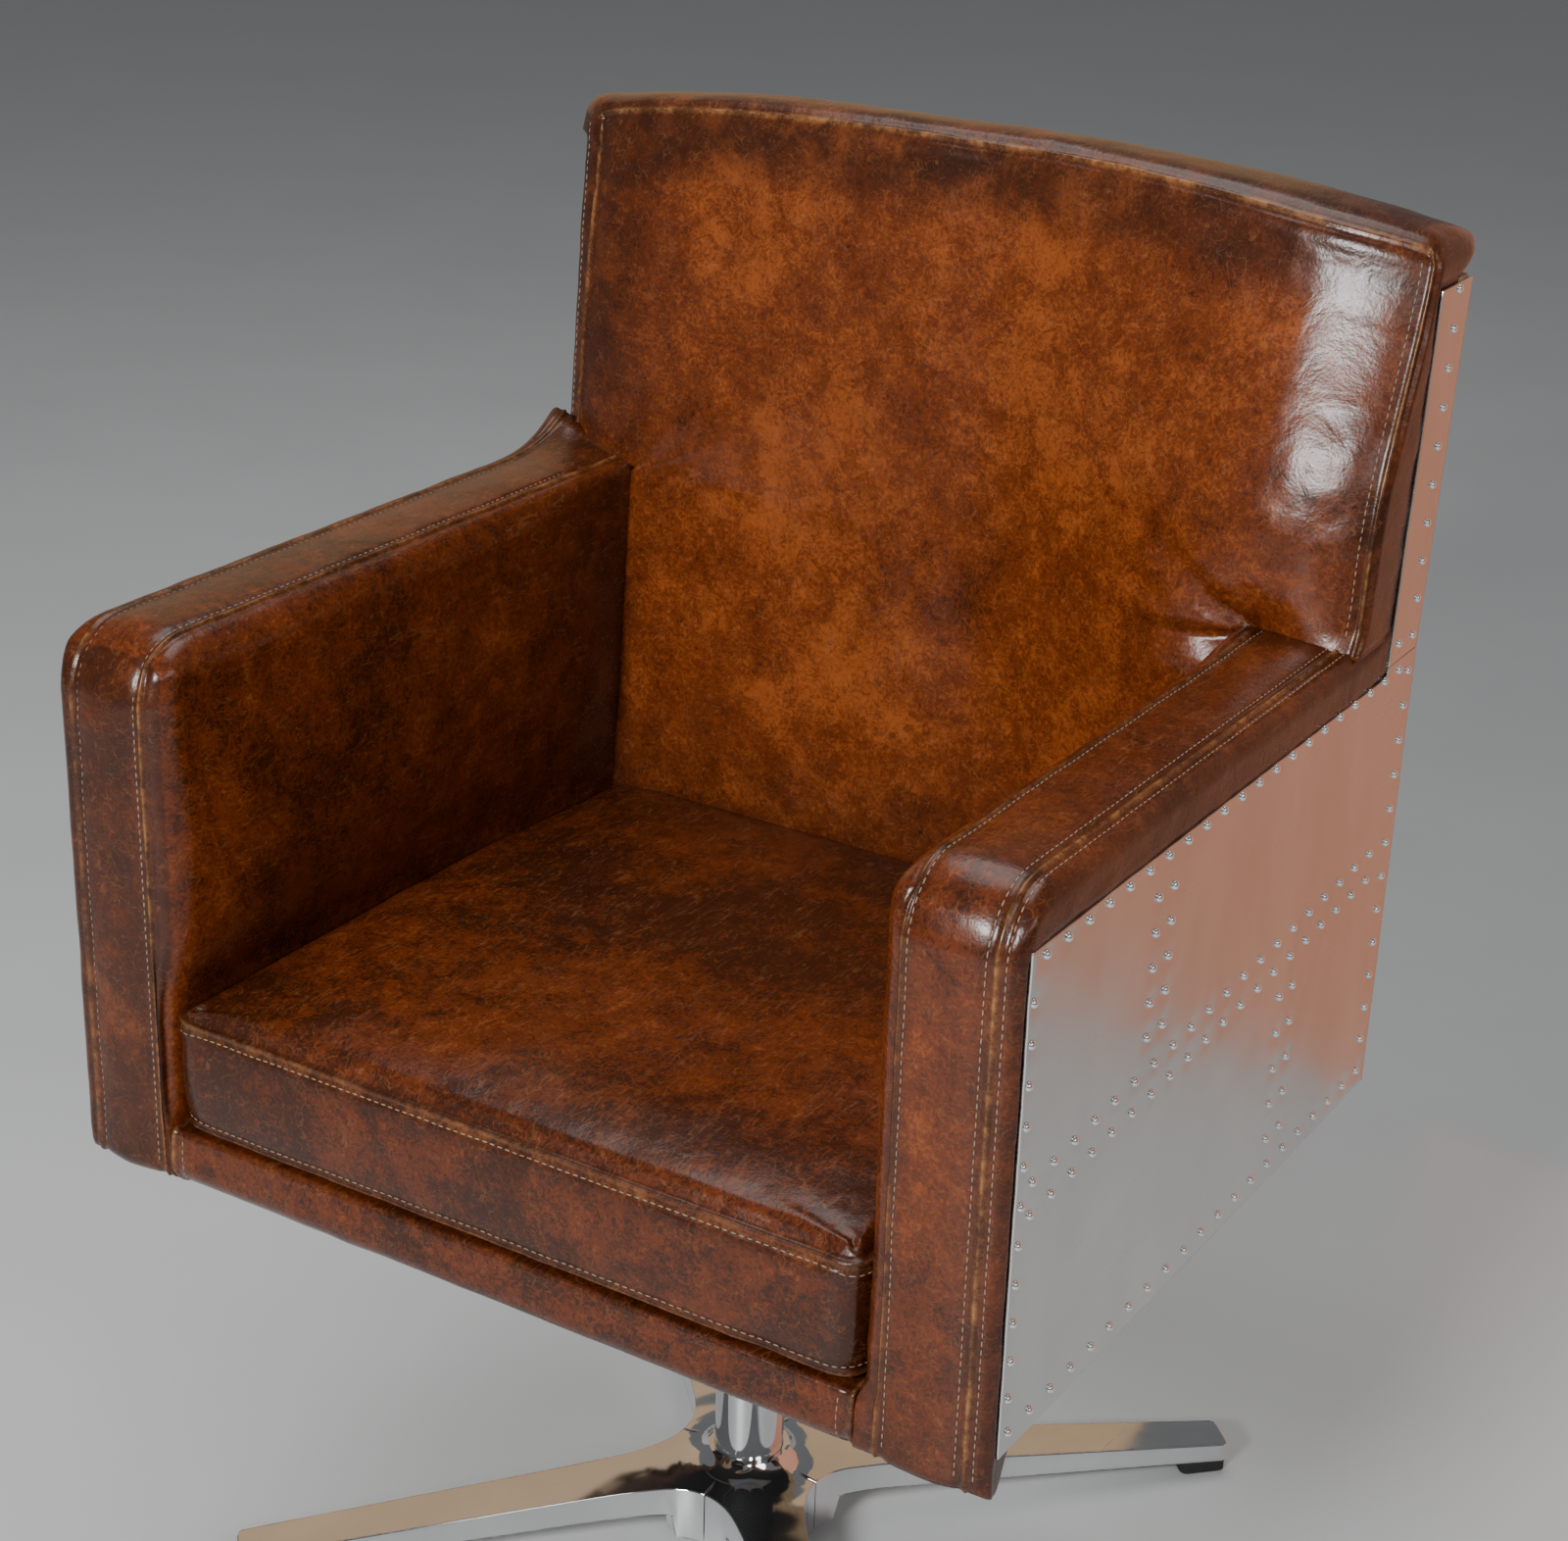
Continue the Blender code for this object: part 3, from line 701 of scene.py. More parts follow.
class BuildSeat(bpy.types.Operator):
    """Boxed seat cushion with welted seams"""
    bl_idname = "tub_chair.seat"
    bl_label = "Seat cushion"

    def execute(self, context):
        bottom, edge = SEAT_LOW.z, CUSHION_EDGE
        half, front, rear = CUSHION_HALF, SEAT_LOW.y, SEAT_HIGH.y
        top_seam, low_seam = edge - 0.0035, bottom + 0.0040
        xs = stations(-half, half, 0.010, [(-half, 0.016, 0.0012), (half, 0.016, 0.0012)])
        ys = stations(front, rear, 0.010, [(front, 0.016, 0.0012), (rear, 0.010, 0.0022)])
        zs = stations(bottom, edge, 0.006, [(top_seam, 0.009, 0.0009), (low_seam, 0.006, 0.0011)])
        bm = block(xs, ys, zs)
        flat = coordinates(bm)
        fx, fy, fz = flat.T
        co = flat.copy()
        for side in (-1, 1):
            across = (0, side * half, side)
            for end, face in ((front, -1), (rear, 1)):
                round_edge(co, across, (1, end, face), 0.021)
            round_edge(co, across, (2, edge, 1), 0.012)
            round_edge(co, across, (2, bottom, -1), 0.006)
        for end, face in ((front, -1), (rear, 1)):
            round_edge(co, (1, end, face), (2, edge, 1), 0.013)
            round_edge(co, (1, end, face), (2, bottom, -1), 0.006)
        u = fx / half
        v = (2 * fy - front - rear) / (rear - front)
        w = (fz - bottom) / (edge - bottom)
        wide = drift(flat, 7.0, 3)
        small = drift(flat, 26.0, 8)
        crown = (1 - np.abs(u) ** 9) * (1 - np.abs(v) ** 9)
        co[:, 2] += np.clip(w, 0, 1) ** 3 * crown * (CUSHION_CROWN + 0.0024 * wide)
        belly = 4 * w * (1 - w) * (CUSHION_BELLY + 0.0014 * wide)
        on_front = np.clip(1 - (fy - front) / 0.02, 0, 1) ** 2
        on_side = np.clip(1 - (half - np.abs(fx)) / 0.02, 0, 1) ** 2
        co[:, 1] -= on_front * belly
        co[:, 0] += np.sign(u) * on_side * belly * 0.6
        corner = hill(half - np.abs(fx), 0.018) * hill(fy - front, 0.018)
        lifted = hill(fz - top_seam, 0.010)
        co[:, 0] += np.sign(u) * corner * lifted * 0.0028
        co[:, 1] -= corner * lifted * 0.0030
        co[:, 0] -= LEFT_GIVE * ramp(-fx, 0.17, half) * give_way(fy)
        put_back(bm, co)
        inward = np.minimum(half - np.abs(fx),
                            np.minimum(fy - front, rear - fy))
        on_top = fz > edge - 1e-5
        under = fz < bottom + 1e-5
        from_top = np.where(on_top, -inward, edge - fz) - (edge - top_seam)
        from_low = np.where(under, -inward, fz - bottom) - (low_seam - bottom)
        raised = leather().seam_height
        height = seam_fold(from_top, raised * 1.35) + seam_fold(from_low, raised)
        height += 0.0006 * small + 0.0004 * drift(flat, 70.0, 11)
        pull = hill(from_top - 0.006, 0.012) * np.sin(fx * 150 + 9 * wide) * 0.00035
        height += pull
        for side in (-1, 1):
            spot = (side * (half - 0.012), front + 0.010)
            for turn, reach in ((0.35, 0.060), (0.75, 0.085), (1.15, 0.050)):
                end = (spot[0] - side * reach * math.cos(turn), spot[1] + reach * math.sin(turn))
                height += on_top * crease(fx, fy, spot, end, 0.0035, 0.0011)
        swell(bm, height)
        # Darker along and just below the top seam and at the front edge; painted shade at the
        # bottom seam by the rail, in the pinched front corners and over the rear of the top, under
        # the back.
        burnish_and_shade = 0.85 * hill(from_top + 0.0018, 0.0016) + 0.70 * hill(from_top - 0.0105, 0.0040)
        burnish_and_shade += 0.85 * hill(from_low, 0.008)
        burnish_and_shade += 0.45 * corner + 0.60 * ramp(v, 0.2, 0.9) * (w > 0.5) + 0.2 * ramp(-v, 0.7, 1.0)
        paint(bm, "burnish_and_shade", burnish_and_shade)
        rubbed = 0.30 * hill(from_top - 0.0008, 0.0018) + 0.22 * hill(from_top - 0.0045, 0.0030)
        paint(bm, "rubbed", rubbed + 0.35 * hill(from_low, 0.0014))
        sewing = Sewing(bm)
        left = -half - LEFT_GIVE
        r = 0.008
        for z, last in ((edge - 0.0120, rear - r), (low_seam + 0.0055, front + 0.1)):
            sewing.row([(left, last, z), (left, front + r, z), (left + r, front, z),
                        (half - r, front, z), (half, front + r, z), (half, last, z)])
        sewing.finish("seat_stitching", "tub", shared("sewing_thread"))
        cushion = piece(bm, "seat_cushion_leather", "tub", shared("seat_hide"))
        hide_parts("seat_cushion")
        return {"FINISHED"}


def arm_block():
    inner, outer = ARM_LOW.x, ARM_OUTER
    front, rear = ARM_LOW.y, ARM_HIGH.y
    low, top = ARM_LOW.z, ARM_HIGH.z
    xs = stations(inner, outer, 0.006, [(inner, 0.004, 0.0018), (ARM_INNER_SEAM, 0.006, 0.0010),
                                        (ARM_OUTER_SEAM, 0.006, 0.0010), (outer, 0.006, 0.0016)])
    ys = stations(front, rear, 0.011, [(front, 0.020, 0.0020), (front + 0.03, 0.015, 0.0035),
                                       (PANEL_LOW.y + 0.012, 0.009, 0.0025)])
    zs = stations(low, top, 0.011, [(top, 0.020, 0.0020), (top - 0.03, 0.012, 0.0035),
                                    (low, 0.012, 0.0030)])
    return block(xs, ys, zs), inner, outer, front, rear, low, top


def build_arm(side, name, node, seed):
    """A padded arm: puffed inner panel, sewn wrap strip over the top and down the front."""
    bm, inner, outer, front, rear, low, top = arm_block()
    flat = coordinates(bm)
    fx, fy, fz = flat.T
    co = flat.copy()
    tight = co.copy()
    round_edge(tight, (0, inner, -1), (2, top, 1), 0.009)
    round_edge(co, (0, inner, -1), (2, top, 1), 0.024)
    co += (tight - co) * ramp(fy, 0.06, 0.16)[:, None]
    square = co.copy()
    round_edge(co, (0, inner, -1), (1, front, -1), 0.022)
    low_part = 1 - ramp(fz, 0.372, 0.390)
    co += (square - co) * (low_part * 0.92)[:, None]
    round_edge(co, (0, outer, 1), (2, top, 1), 0.013)
    round_edge(co, (0, outer, 1), (1, front, -1), 0.012)
    round_edge(co, (1, front, -1), (2, low, -1), 0.010)
    big = ARM_BEND
    y, z = co[:, 1].copy(), co[:, 2].copy()
    near = (y < front + big) & (z > top - big)
    s = 1 - np.clip((y - front) / big, 0, 1)
    t = 1 - np.clip((top - z) / big, 0, 1)
    co[near, 1] = (front + big * (1 - s * np.sqrt(1 - t * t / 2)))[near]
    co[near, 2] = (top - big * (1 - t * np.sqrt(1 - s * s / 2)))[near]
    wide = drift(flat, 8.0, seed)
    small = drift(flat, 28.0, seed + 4)
    on_inner = np.clip(1 - (fx - inner) / 0.010, 0, 1)
    rise = ramp(fz, 0.455, 0.56) * (1 - ramp(fz, 0.600, 0.712))
    run = ramp(fy, front, front + 0.075) * (1 - ramp(fy, 0.12, 0.21))
    co[:, 0] -= on_inner * rise * run * (ARM_SWELL + 0.0030 * wide)
    if side < 0:
        squeezed = 1 - ramp(fz, 0.452, 0.520)
        near_inner = np.clip(1 - (fx - inner) / 0.0150, 0, 1)
        co[:, 0] += LEFT_GIVE * near_inner * squeezed * give_way(fy)
    flare = ramp(fx, inner + 0.02, outer) * ramp(fz, 0.66, top)
    co[:, 2] += ARM_FLARE * np.clip((fy - 0.155) / (rear - 0.155), 0, 1) ** 2 * flare
    behind = ramp(fy, PANEL_LOW.y + 0.004, PANEL_LOW.y + 0.020)
    lift = BOARD_LOW.z - 0.0003 - low
    share = np.clip(1 - (fz - low) / 0.035, 0, 1)
    co[:, 2] += behind * share * lift * (0.96 + 0.04 * share)
    tucked = ramp(fy, PANEL_LOW.y - 0.005, PANEL_LOW.y + 0.001)
    tucked *= 1 - ramp(fz, ARM_SHEET_TOP - 0.004, ARM_SHEET_TOP + 0.002)
    on_outer = np.clip(1 - (outer - fx) / 0.004, 0, 1)
    co[:, 0] -= tucked * on_outer * (outer - SHEET_IN)
    put_back(bm, co)
    on_wrap = (fz > top - 1e-5) | (fy < front + 1e-5)
    away_in = np.where(on_wrap, fx - ARM_INNER_SEAM, 1.0)
    away_out = np.where(on_wrap, fx - ARM_OUTER_SEAM, 1.0)
    raised = leather().seam_height
    middle = (ARM_INNER_SEAM + ARM_OUTER_SEAM) / 2
    reach = (ARM_OUTER_SEAM - ARM_INNER_SEAM) / 2
    crown = np.clip(1 - ((fx - middle) / reach) ** 2, 0, 1)
    height = on_wrap * crown * (0.0026 + 0.0010 * wide)
    height += seam_fold(away_in, raised) + seam_fold(away_out, raised)
    height += 0.0006 * small + 0.0003 * drift(flat, 75.0, seed + 9)
    on_front = fy < front + 1e-5
    on_top = fz > top - 1e-5
    for k in range(4):
        z_at = 0.655 - 0.017 * k + 0.004 * ((seed * (k + 3)) % 3)
        fold = crease(fx, fz, (ARM_OUTER_SEAM - 0.004, z_at),
                      (ARM_INNER_SEAM + 0.012, z_at + 0.006 - 0.004 * k), 0.0026, 0.0009)
        height += on_front * fold
    for k in range(5):
        y_at = 0.14 - 0.075 * k + 0.009 * ((seed * (k + 2)) % 4)
        fold = crease(fx, fy, (ARM_INNER_SEAM + 0.004, y_at),
                      (ARM_OUTER_SEAM - 0.014, y_at - 0.012), 0.0034, 0.0008)
        height += on_top * fold
    on_side = fx < inner + 1e-5
    for k in range(4):
        start = (0.155, 0.50 + 0.045 * k)
        end = (start[0] - 0.12 - 0.02 * (k % 2), start[1] + 0.02 * (k - 1.5))
        height += on_side * crease(fy, fz, start, end, 0.0055, 0.0016)
    swell(bm, height)
    # Burnish by both seams and at the outer edge; painted shade toward the rear under the back,
    # toward the bottom and on the inner face toward the rear. The left arm's front is made much
    # darker than the right one's, and the top between the seams a little darker.
    burnish_and_shade = 0.70 * hill(away_in, 0.0065) + 0.70 * hill(away_out, 0.0065)
    burnish_and_shade += 0.55 * ramp(fy, 0.02, 0.20) + 0.45 * (1 - ramp(fz, low, low + 0.09))
    burnish_and_shade += 0.35 * on_side * ramp(fy, -0.15, 0.15)
    burnish_and_shade += 0.5 * ramp(fx, outer - 0.010, outer)
    burnish_and_shade += (0.95 if side < 0 else 0.22) * on_front
    burnish_and_shade += 0.28 * on_top * (crown > 0)
    paint(bm, "burnish_and_shade", burnish_and_shade)
    golden_in = 0.85 if side < 0 else 0.55
    golden_out = 0.60 if side < 0 else 0.90
    rubbed = golden_in * hill(away_in, 0.0016) + golden_out * hill(away_out, 0.0016)
    paint(bm, "rubbed", rubbed)
    co = coordinates(bm)
    co[:, 0] *= side
    put_back(bm, co)
    face_outward(bm)
    sewing = Sewing(bm)
    rows = [ARM_INNER_SEAM + 0.0062, ARM_OUTER_SEAM - 0.0062]
    if side > 0:
        rows.append(ARM_OUTER_SEAM + 0.0055)
    for x in rows:
        bend = [(side * x, front + big * (1 - math.cos(a)), top - big * (1 - math.sin(a)))
                for a in np.linspace(0, math.pi / 2, 9)]
        sewing.row([(side * x, front, low + 0.012)] + bend + [(side * x, 0.150, top)])
    sewing.finish(name + "_stitching", "tub", shared("sewing_thread"))
    made = piece(bm, name + "_leather", "tub", shared("arm_hide"))
    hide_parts(node)


class BuildArms(bpy.types.Operator):
    """Both padded arms"""
    bl_idname = "tub_chair.arms"
    bl_label = "Arms"

    def execute(self, context):
        build_arm(-1, "arm_left", "arm_upholstery_left", 5)
        build_arm(1, "arm_right", "arm_upholstery_right", 17)
        return {"FINISHED"}


# Creases on the back: start x and z, end x and z, width, depth, mirrored for the left side.
RIGHT_FOLDS = ((0.268, 0.712, 0.180, 0.764, 0.0075, 0.0042),
               (0.262, 0.704, 0.150, 0.690, 0.0080, 0.0034),
               (0.334, 0.735, 0.240, 0.790, 0.0060, 0.0020),
               (0.338, 0.790, 0.270, 0.812, 0.0055, 0.0014),
               (0.338, 0.840, 0.275, 0.868, 0.0055, 0.0013),
               (0.328, 0.740, 0.290, 0.850, 0.0045, 0.0016),
               (0.250, 0.640, 0.120, 0.600, 0.0060, 0.0014))
LEFT_FOLDS = ((0.250, 0.712, 0.170, 0.760, 0.0055, 0.0016),
              (0.300, 0.722, 0.230, 0.790, 0.0050, 0.0014),
              (0.250, 0.620, 0.130, 0.650, 0.0060, 0.0014))


def back_front(x, z):
    """Front face of the back; the right wing swells forward over its arm."""
    middle = 0.176 + (z - 0.38) * 0.085
    swollen = 0.068 * ramp(z, 0.47, 0.70) * (1 - 0.62 * ramp(z, 0.775, 0.965))
    wing = swollen * ramp(x, 0.02, 0.275)
    wing = wing - 0.020 * hill(np.hypot(x - 0.262, (z - 0.702) * 1.2), 0.032)
    fall = 0.013 * np.clip((np.abs(x) - 0.262) / 0.0735, 0, 1.1) ** 2 * ramp(z, 0.69, 0.73)
    return middle - wing + fall


def back_rear(z):
    inside = rear_face(z) - 0.0030
    roll = ramp(z, 0.928, 0.947)
    return inside * (1 - roll) + roll * 0.2995


class BuildBack(bpy.types.Operator):
    """Leaning back with a roll over its top edge"""
    bl_idname = "tub_chair.back"
    bl_label = "Back"

    def execute(self, context):
        edge, low, top = BACK_EDGE, BACK_LOW.z, BACK_HIGH.z
        between, wing = BACK_IN, WING_Z
        thick = BACK_THICK
        xs = stations(0.0, edge, 0.011, [(between, 0.006, 0.0022), (BACK_SEAM, 0.005, 0.0010),
                                         (edge, 0.006, 0.0012)])
        xs = np.concatenate([-xs[:0:-1], xs])
        zs = stations(low, top, 0.011, [(wing, 0.008, 0.0022), (0.936, 0.014, 0.0028),
                                        (top, 0.024, 0.0017)])
        levels = stations(0.0, thick, 0.006, [(0.0, 0.016, 0.0016), (thick, 0.010, 0.0025)])
        bm = slab(xs, zs, levels, lambda x, z: abs(x) < between or z > wing)
        flat = coordinates(bm)
        fx, fy, fz = flat.T
        co = flat.copy()
        upper = fz > wing - 1e-5
        for side in (-1, 1):
            round_edge(co, (0, side * edge, side), (1, 0.0, -1), 0.006, upper)
            round_edge(co, (0, side * edge, side), (2, top, 1), 0.020, upper)
            outside = side * fx > between - 1e-5
            round_edge(co, (1, 0.0, -1), (2, wing, -1), 0.005, outside & upper)
            round_edge(co, (0, side * edge, side), (2, wing, -1), 0.006, outside & upper)
            ends = fz > 0.925
            round_edge(co, (0, side * edge, side), (1, thick, 1), 0.017, ends)
        round_edge(co, (1, 0.0, -1), (2, top, 1), 0.021)
        round_edge(co, (1, thick, 1), (2, top, 1), 0.024)
        x, v, z = co[:, 0].copy(), co[:, 1].copy(), co[:, 2].copy()
        rise = np.clip((z - wing) / (top - wing), 0, None)
        z = z - rise * CREST_DROP * (np.abs(x) / edge) ** 3
        wide = drift(flat, 6.0, 21)
        small = drift(flat, 26.0, 27)
        front = back_front(x, z)
        depth = back_rear(z) - front
        y = front + v + (v / thick) ** 2 * (depth - thick)
        inset = 1 - np.sin(np.clip(v / (0.6 * thick), 0, 1) * math.pi / 2)
        slim = (0.0238 + 0.030 * np.clip(z - 0.72, 0, None)) * inset * (x < 0)
        x = x + slim * ramp(np.abs(x), 0.20, edge) * ramp(z, 0.700, 0.716)
        hidden = ramp(y, band_front(z) - 0.004, band_front(z) + 0.002) * (z < 0.936)
        near_edge = np.clip(1 - (edge - np.abs(fx)) / 0.004, 0, 1)
        x = x - np.sign(x) * near_edge * hidden * (edge - SHEET_IN)
        tucked = PANEL_LOW.x - LEFT_INSET - 0.0006
        x = x + ramp(z, LAP, LAP + 0.012) * hidden * np.clip(-tucked - x, 0, None)
        co = np.stack([x, y, z], axis=1)
        put_back(bm, co)
        on_front = fy < 1e-6
        on_crest = fz > top - 1e-5
        away_side = np.where(on_front & upper, np.abs(fx) - BACK_SEAM, 1.0)
        away_top = np.where(on_crest, fy, fz - top)
        away_top = np.where(on_front | on_crest, away_top + 0.002, 1.0)
        raised = leather().seam_height
        height = seam_fold(away_side, raised) + seam_fold(away_top, raised * 1.2)
        height += 0.0008 * small + 0.0003 * drift(flat, 75.0, 33)
        height += on_front * 0.0025 * wide
        for side, starts in ((1, RIGHT_FOLDS), (-1, LEFT_FOLDS)):
            for x0, z0, x1, z1, width, depth_of in starts:
                height += on_front * crease(fx, fz, (side * x0, z0),
                                            (side * x1, z1), width, depth_of)
        swell(bm, height)
        # Burnish by the side and top seams and a dark band below the top edge; painted shade low
        # down, behind the cushion and between the arms. The left side, the right edge, the crest
        # and the faces away from the front are darker too.
        burnish_and_shade = 0.75 * hill(away_side, 0.007) + 0.6 * hill(away_top, 0.006)
        burnish_and_shade += 1.0 * ramp(fz, 0.912, 0.958) + 0.75 * (1 - ramp(fz, 0.44, 0.56))
        burnish_and_shade += 0.80 * ramp(-fx, 0.20, 0.33) + 0.30 * ramp(fx, 0.29, 0.34)
        burnish_and_shade += 0.35 * (on_crest | ~on_front)
        paint(bm, "burnish_and_shade", burnish_and_shade)
        rubbed = 0.95 * hill(away_top, 0.0022) + 0.75 * hill(away_side, 0.0016)
        paint(bm, "rubbed", rubbed)
        sewing = Sewing(bm)
        for side in (-1, 1):
            line = []
            for z in np.linspace(wing + 0.012, 0.950, 20):
                x = side * (BACK_SEAM - 0.0075)
                line.append((x, float(back_front(x, z)), float(z)))
            sewing.row(line)
        sewing.finish("back_stitching", "tub", shared("sewing_thread"))
        made = piece(bm, "back_leather", "tub", shared("back_hide"))
        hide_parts("back_upholstery")
        return {"FINISHED"}


class BuildRail(bpy.types.Operator):
    """Padded front rail under the cushion"""
    bl_idname = "tub_chair.rail"
    bl_label = "Front rail"

    def execute(self, context):
        low, high = RAIL_LOW - Vector((0, 0, RAIL_DROP)), RAIL_HIGH
        half = ARM_LOW.x + 0.0005
        xs = stations(-half, half, 0.010, [(-half, 0.012, 0.0014), (half, 0.012, 0.0014)])
        ys = stations(low.y, high.y, 0.005, [(low.y, 0.012, 0.0016)])
        zs = stations(low.z, high.z, 0.004, [(low.z, 0.010, 0.0018), (high.z, 0.008, 0.0016)])
        bm = block(xs, ys, zs)
        flat = coordinates(bm)
        fx, fy, fz = flat.T
        co = flat.copy()
        round_edge(co, (1, low.y, -1), (2, high.z, 1), 0.003)
        round_edge(co, (1, low.y, -1), (2, low.z, -1), 0.021)
        w = (fz - low.z) / (high.z - low.z)
        on_front = np.clip(1 - (fy - low.y) / 0.012, 0, 1)
        wide = drift(flat, 9.0, 41)
        co[:, 1] -= on_front * 4 * w * (1 - w) * (0.0018 + 0.0008 * wide)
        co[:, 0] -= LEFT_GIVE * ramp(-fx, 0.17, half)
        put_back(bm, co)
        away = half - np.abs(fx) - 0.0015
        height = seam_fold(away, 0.0010) + 0.0007 * drift(flat, 28.0, 44)
        swell(bm, height)
        # Burnish by the end seams; painted shade along the bottom and along the top, under the
        # cushion.
        burnish_and_shade = 0.7 * hill(away, 0.008) + 0.8 * (1 - ramp(w, 0.0, 0.30))
        burnish_and_shade += 0.5 * ramp(w, 0.8, 1.0)
        paint(bm, "burnish_and_shade", burnish_and_shade)
        paint(bm, "rubbed", 0.9 * hill(away, 0.0018))
        sewing = Sewing(bm)
        for side in (-1, 1):
            x = side * (half - 0.0105) - (LEFT_GIVE if side < 0 else 0.0)
            sewing.row([(x, low.y, low.z + 0.006), (x, low.y, high.z - 0.005)])
        sewing.finish("rail_stitching", "tub", shared("sewing_thread"))
        made = piece(bm, "front_rail_leather", "tub", shared("rail_hide"))
        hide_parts("front_rail_upholstery")
        return {"FINISHED"}


# ---------------------------------------------------------------- sheet metal
def row_between(start, end):
    """Rivet places from start to end, about one pitch apart, as (along, up) pairs."""
    run = math.hypot(end[0] - start[0], end[1] - start[1])
    count = max(2, int(round(run / metal().rivet_pitch)) + 1)
    share = np.linspace(0.0, 1.0, count)
    return [(start[0] + (end[0] - start[0]) * s, start[1] + (end[1] - start[1]) * s)
            for s in share]


# Rivet rows of a side panel, each as start y and z, end y and z.
SIDE_LINES = ((-0.2750, 0.6740, 0.2190, 0.6800), (-0.2862, 0.6500, -0.2840, 0.4020),
              (0.2370, 0.6990, 0.2285, 0.3790), (0.2040, 0.3780, -0.2810, 0.3780),
              (0.2040, 0.5537, -0.2730, 0.5357), (0.2026, 0.5347, -0.2735, 0.5151),
              (-0.1157, 0.6530, -0.1157, 0.5640), (-0.1360, 0.6530, -0.1360, 0.5640),
              (0.0866, 0.5050, 0.0908, 0.4000), (0.0663, 0.5050, 0.0693, 0.4000))


def side_rows():
    return [place for line in SIDE_LINES for place in row_between(line[:2], line[2:])]


def strip_rows():
    return row_between((0.2480, 0.927), (0.2385, 0.724)) + [(0.2130, 0.700)]


def rear_rows(low, high, inset=0.010):
    half = PANEL_HIGH.x - inset
    rows = row_between((-half, low), (-half, high)) + row_between((half, low), (half, high))
    step = metal().rivet_pitch
    rows += row_between((-half + step, low), (half - step, low))
    rows += row_between((-half + step, high), (half - step, high))
    return rows


def sheet_wave(a, b, seed, dimples):
    """How far the sheet stands off its flat place at (a, b): hand-made waves, dimpled rivets."""
    a, b = np.asarray(a, float), np.asarray(b, float)
    points = np.stack([a, b, np.full_like(a, seed * 2.3)], axis=1)
    out = metal().dent * (drift(points, 9.0, seed, 2) + 0.35 * drift(points, 30.0, seed + 1, 1))
    for row, col in dimples:
        out = out - 0.00060 * hill(np.hypot(a - row, b - col), 0.0058)
    return out


def rivet_set(name, places, surface_at):
    """One mesh of domed heads; surface_at(a, b) gives a point and the way out of the sheet."""
    template = bmesh.new()
    bmesh.ops.create_uvsphere(template, u_segments=12, v_segments=8, radius=1.0)
    under = [vert for vert in template.verts if vert.co.z < -0.30]
    bmesh.ops.delete(template, geom=under, context="VERTS")
    rim = [edge for edge in template.edges if edge.is_boundary]
    bmesh.ops.contextual_create(template, geom=rim)
    one = bpy.data.meshes.new(name + "_one")
    template.to_mesh(one)
    template.free()
    shape = np.array([vert.co for vert in one.vertices], float)
    radius = metal().rivet_radius
    shape *= np.array([radius, radius, radius * 0.85])
    made = bmesh.new()
    for a, b in places:
        point, out = surface_at(a, b)
        turn = np.array(Vector(out).to_track_quat("Z", "Y").to_matrix(), float)
        co = shape @ turn.T + np.array(point) + np.array(out) * 0.0002
        one.vertices.foreach_set("co", co.ravel())
        made.from_mesh(one)
    face_outward(made)
    return piece(made, name, "tub", shared("rivet_metal"), sharp_angle=50)


def soften_rim(bm, width):
    """Takes the sharpness off a sheet's rim."""
    rim = [edge for edge in bm.edges if edge.is_manifold and edge.calc_face_angle() > 1.0]
    bevel(bm, rim, width, 2)


def sheet_piece(bm, name):
    face_outward(bm)
    soften_rim(bm, 0.0004)
    return piece(bm, name, "tub", shared("satin_sheet"), sharp_angle=40)


def build_side_sheet(side, name, node, ys, zs, keep, shape, dimples, seed, tuck=0.0):
    thick = PANEL_HIGH.x - PANEL_LOW.x
    bm = slab(ys, zs, [0.0, thick], keep)
    flat = coordinates(bm)
    y, z = shape(flat[:, 0], flat[:, 2])
    off = sheet_wave(y, z, seed, dimples)
    x = PANEL_LOW.x - tuck + flat[:, 1] + off
    put_back(bm, np.stack([side * x, y, z], axis=1))
    made = sheet_piece(bm, name)
    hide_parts(node)

    def at(a, b):
        stand = float(sheet_wave([a], [b], seed, dimples)[0])
        return (side * (PANEL_HIGH.x - tuck + stand), a, b), (side, 0.0, 0.0)

    rivet_set(name + "_rivets", dimples, at)


